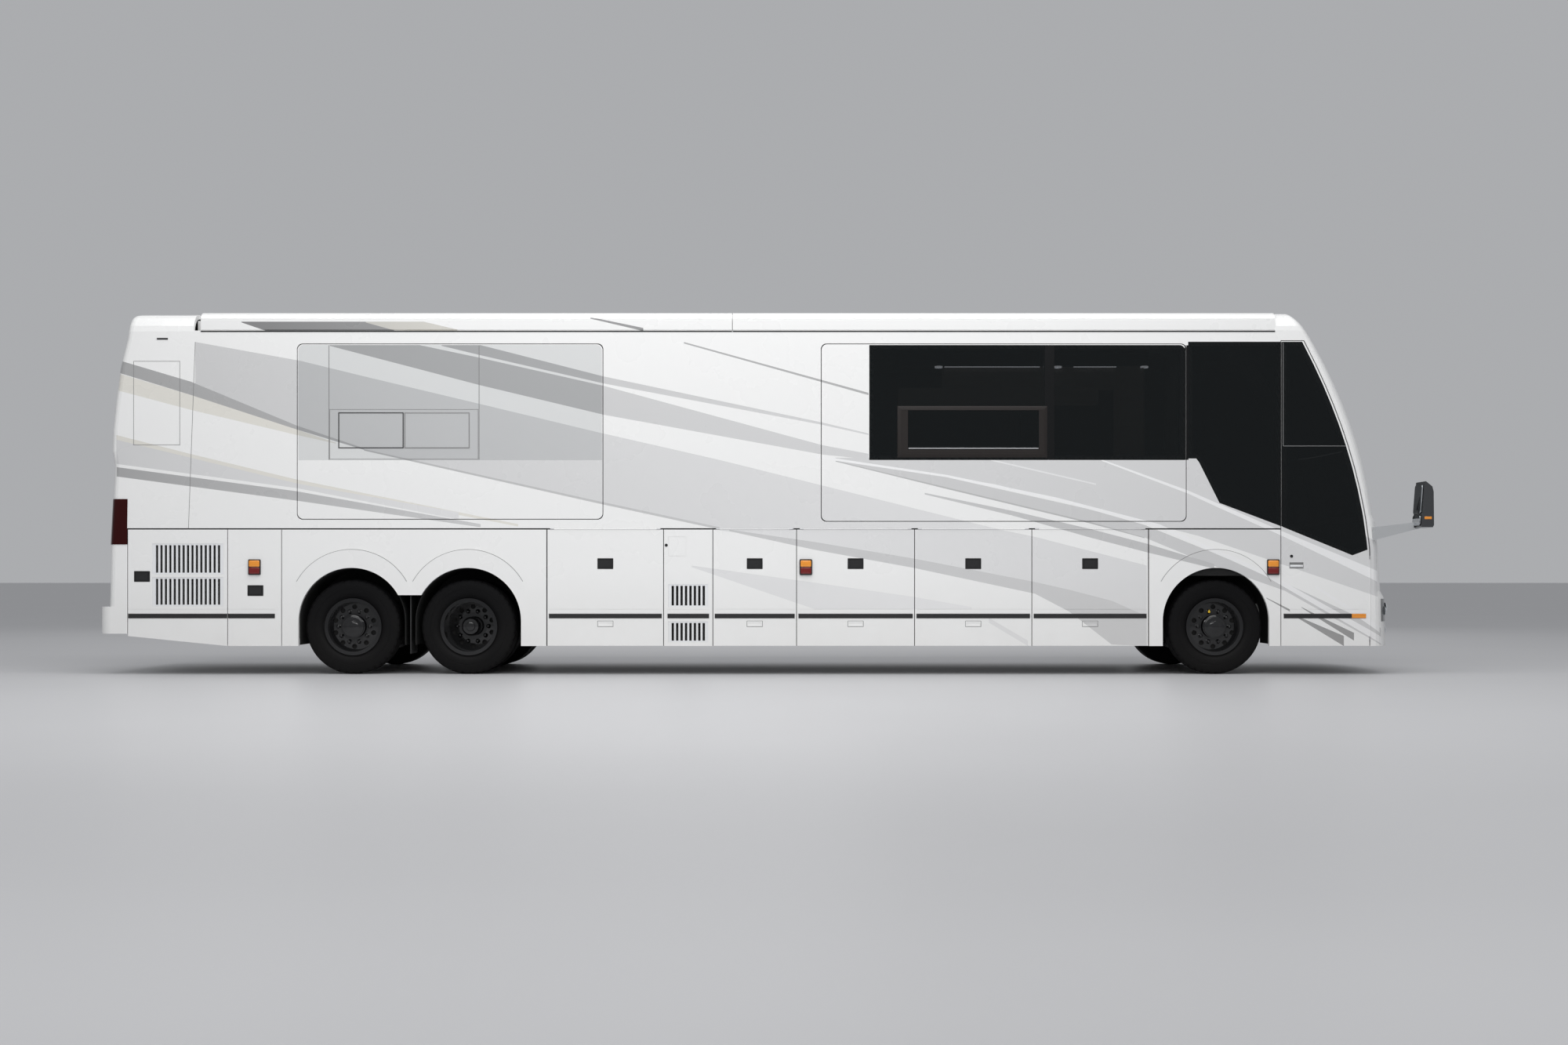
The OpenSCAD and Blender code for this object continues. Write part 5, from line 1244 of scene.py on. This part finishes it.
# %% [markdown]
# ## Seats
# The two cab seats are padded, so they get soft forms instead of the plain CAD blocks. A pad starts as a
# box that is divided; its edges pull in, its top rises to a crown, and two sewn channels are pressed across
# the larger pads. Subdivision then rounds everything. Cushion, back and head rest are pads on a moulded
# pedestal.


# %% Seats
CHANNEL_DEPTH, CHANNEL_W, EDGE_PULL = 0.013, 0.09, 0.014


def pad(low, high, crown_axis, crown, channels):
    """A crowned cushion between two corners, with sewn channels across it."""
    piece = block(low, high)
    pick_all()
    bpy.ops.mesh.subdivide(number_cuts=7)
    object_mode()
    centre = (Vector(low) + Vector(high)) / 2
    half = (Vector(high) - Vector(low)) / 2
    others = [a for a in range(3) if a != crown_axis]
    for vertex in piece.data.vertices:
        share = [(vertex.co[a] - centre[a]) / half[a] for a in range(3)]
        bulge = (1 - share[others[0]] ** 2) * (1 - share[others[1]] ** 2)
        vertex.co[crown_axis] += crown * bulge * (1 if share[crown_axis] > 0 else -0.2)
        for a, b in (others, others[::-1]):
            vertex.co[a] -= math.copysign(EDGE_PULL, share[a]) * abs(share[a]) ** 3 * (1 - share[b] ** 2)
        for channel in channels:
            near = math.exp(-((share[others[0]] - channel) / CHANNEL_W) ** 2)
            vertex.co[crown_axis] -= CHANNEL_DEPTH * near * (1 if share[crown_axis] > 0.5 else 0)
    apply_modifier(piece, "SUBSURF", levels=2, render_levels=2)
    return piece


CAB_TOP, ARM_OFFSET = 1.100, 0.262
seat_places = {"driver": (5.150, 0.700), "guide": (5.000, -0.720)}
for who, (x, y) in seat_places.items():
    cushion = pad((x - 0.15, y - 0.25, CAB_TOP + 0.345), (x + 0.285, y + 0.25, CAB_TOP + 0.455), 2, 0.022,
                  (-0.4, 0.35))
    back = pad((-0.055, y - 0.245, 0.0), (0.055, y + 0.245, 0.66), 0, 0.020, (-0.45, 0.45))
    head = pad((-0.045, y - 0.14, 0.675), (0.045, y + 0.14, 0.825), 0, 0.015, ())
    lean = Matrix.Translation((x - 0.185, 0, CAB_TOP + 0.455)) @ Matrix.Rotation(math.radians(-8), 4, "Y")
    for soft, name in ((back, "back"), (head, "head_rest"), (cushion, "cushion")):
        if soft is not cushion:
            soft.data.transform(lean)
        settle(soft, f"seat_{name}_{who}", "coach", leather, 60)
    base = block((x - 0.16, y - 0.20, CAB_TOP + 0.002), (x + 0.16, y + 0.20, CAB_TOP + 0.335))
    pick(base, lambda c, n: abs(n.z) < 0.1)
    bpy.ops.mesh.inset(thickness=0.03, use_individual=True)
    push(-0.02)
    round_edges(0.006)
    settle(base, f"seat_pedestal_{who}", "coach", cab_plastic)
    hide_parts("cab_seats")
    for side, arm_y in (("right", y - ARM_OFFSET), ("left", y + ARM_OFFSET)):
        arm = block((x - 0.13, arm_y - 0.022, CAB_TOP + 0.60), (x + 0.20, arm_y + 0.022, CAB_TOP + 0.655))
        round_edges(0.02, 3)
        settle(arm, f"seat_arm_{who}_{side}", "coach", cab_plastic)
print("two seats")

# %% [markdown]
# ## Inside the front room
# Through the dark glass one sees lit strips and cupboards. The strips are slim bars with a glowing finish,
# and the cupboards are boxes whose fronts are divided into doors, each with an inset panel; their veneer
# glows a little too, as painted lamplight.


# %% Room interior
def joinery(low, high, columns):
    """A run of cupboards: a carcass whose front is divided into doors with inset panels."""
    carcass = block(low, high)
    pick(carcass, faces_out)
    bpy.ops.mesh.subdivide(number_cuts=columns)
    bpy.ops.mesh.inset(thickness=0.016, use_individual=True)
    bpy.ops.transform.translate(value=(0, 0.006, 0))
    object_mode()
    return carcass


SOFFIT_Z, CEILING_Z = 3.297, 3.462
cupboards = [joinery((1.95, -1.00, 3.075), (3.80, -0.66, SOFFIT_Z), 3),
             joinery((1.47, -0.96, 2.905), (3.62, -0.70, 3.075), 1),
             joinery((3.83, -1.05, 2.241), (4.09, -0.66, SOFFIT_Z), 1)]
settle(join(cupboards), "room_cupboards", "front_room", veneer_painted_glow)
soffit = block((1.42, -1.10, SOFFIT_Z), (4.12, -0.66, CEILING_Z))
pick(soffit, faces_out)
step_face(0.03, -0.006)
round_edges(0.003)
settle(soffit, "room_soffit", "front_room", cab_plastic)

# Light strips along the top of the cupboards, and small downlights
lights = [block((x0, -1.03, SOFFIT_Z - 0.009), (x1, -1.01, SOFFIT_Z))
          for x0, x1 in ((1.95, 2.975), (3.34, 3.80))]
for x in (1.885, 3.165, 4.095):
    light = begin("cylinder", vertices=24, radius=0.042, depth=0.020,
                  location=(x, -1.055, SOFFIT_Z - 0.010))
    pick(light, lambda c, n: n.z < -0.9)
    step_face(0.008, -0.006)
    object_mode()
    lights.append(light)
lights = join(lights)
round_edges(0.0015, 1)
settle(lights, "room_lights", "front_room", led_glow)
print("room interior")
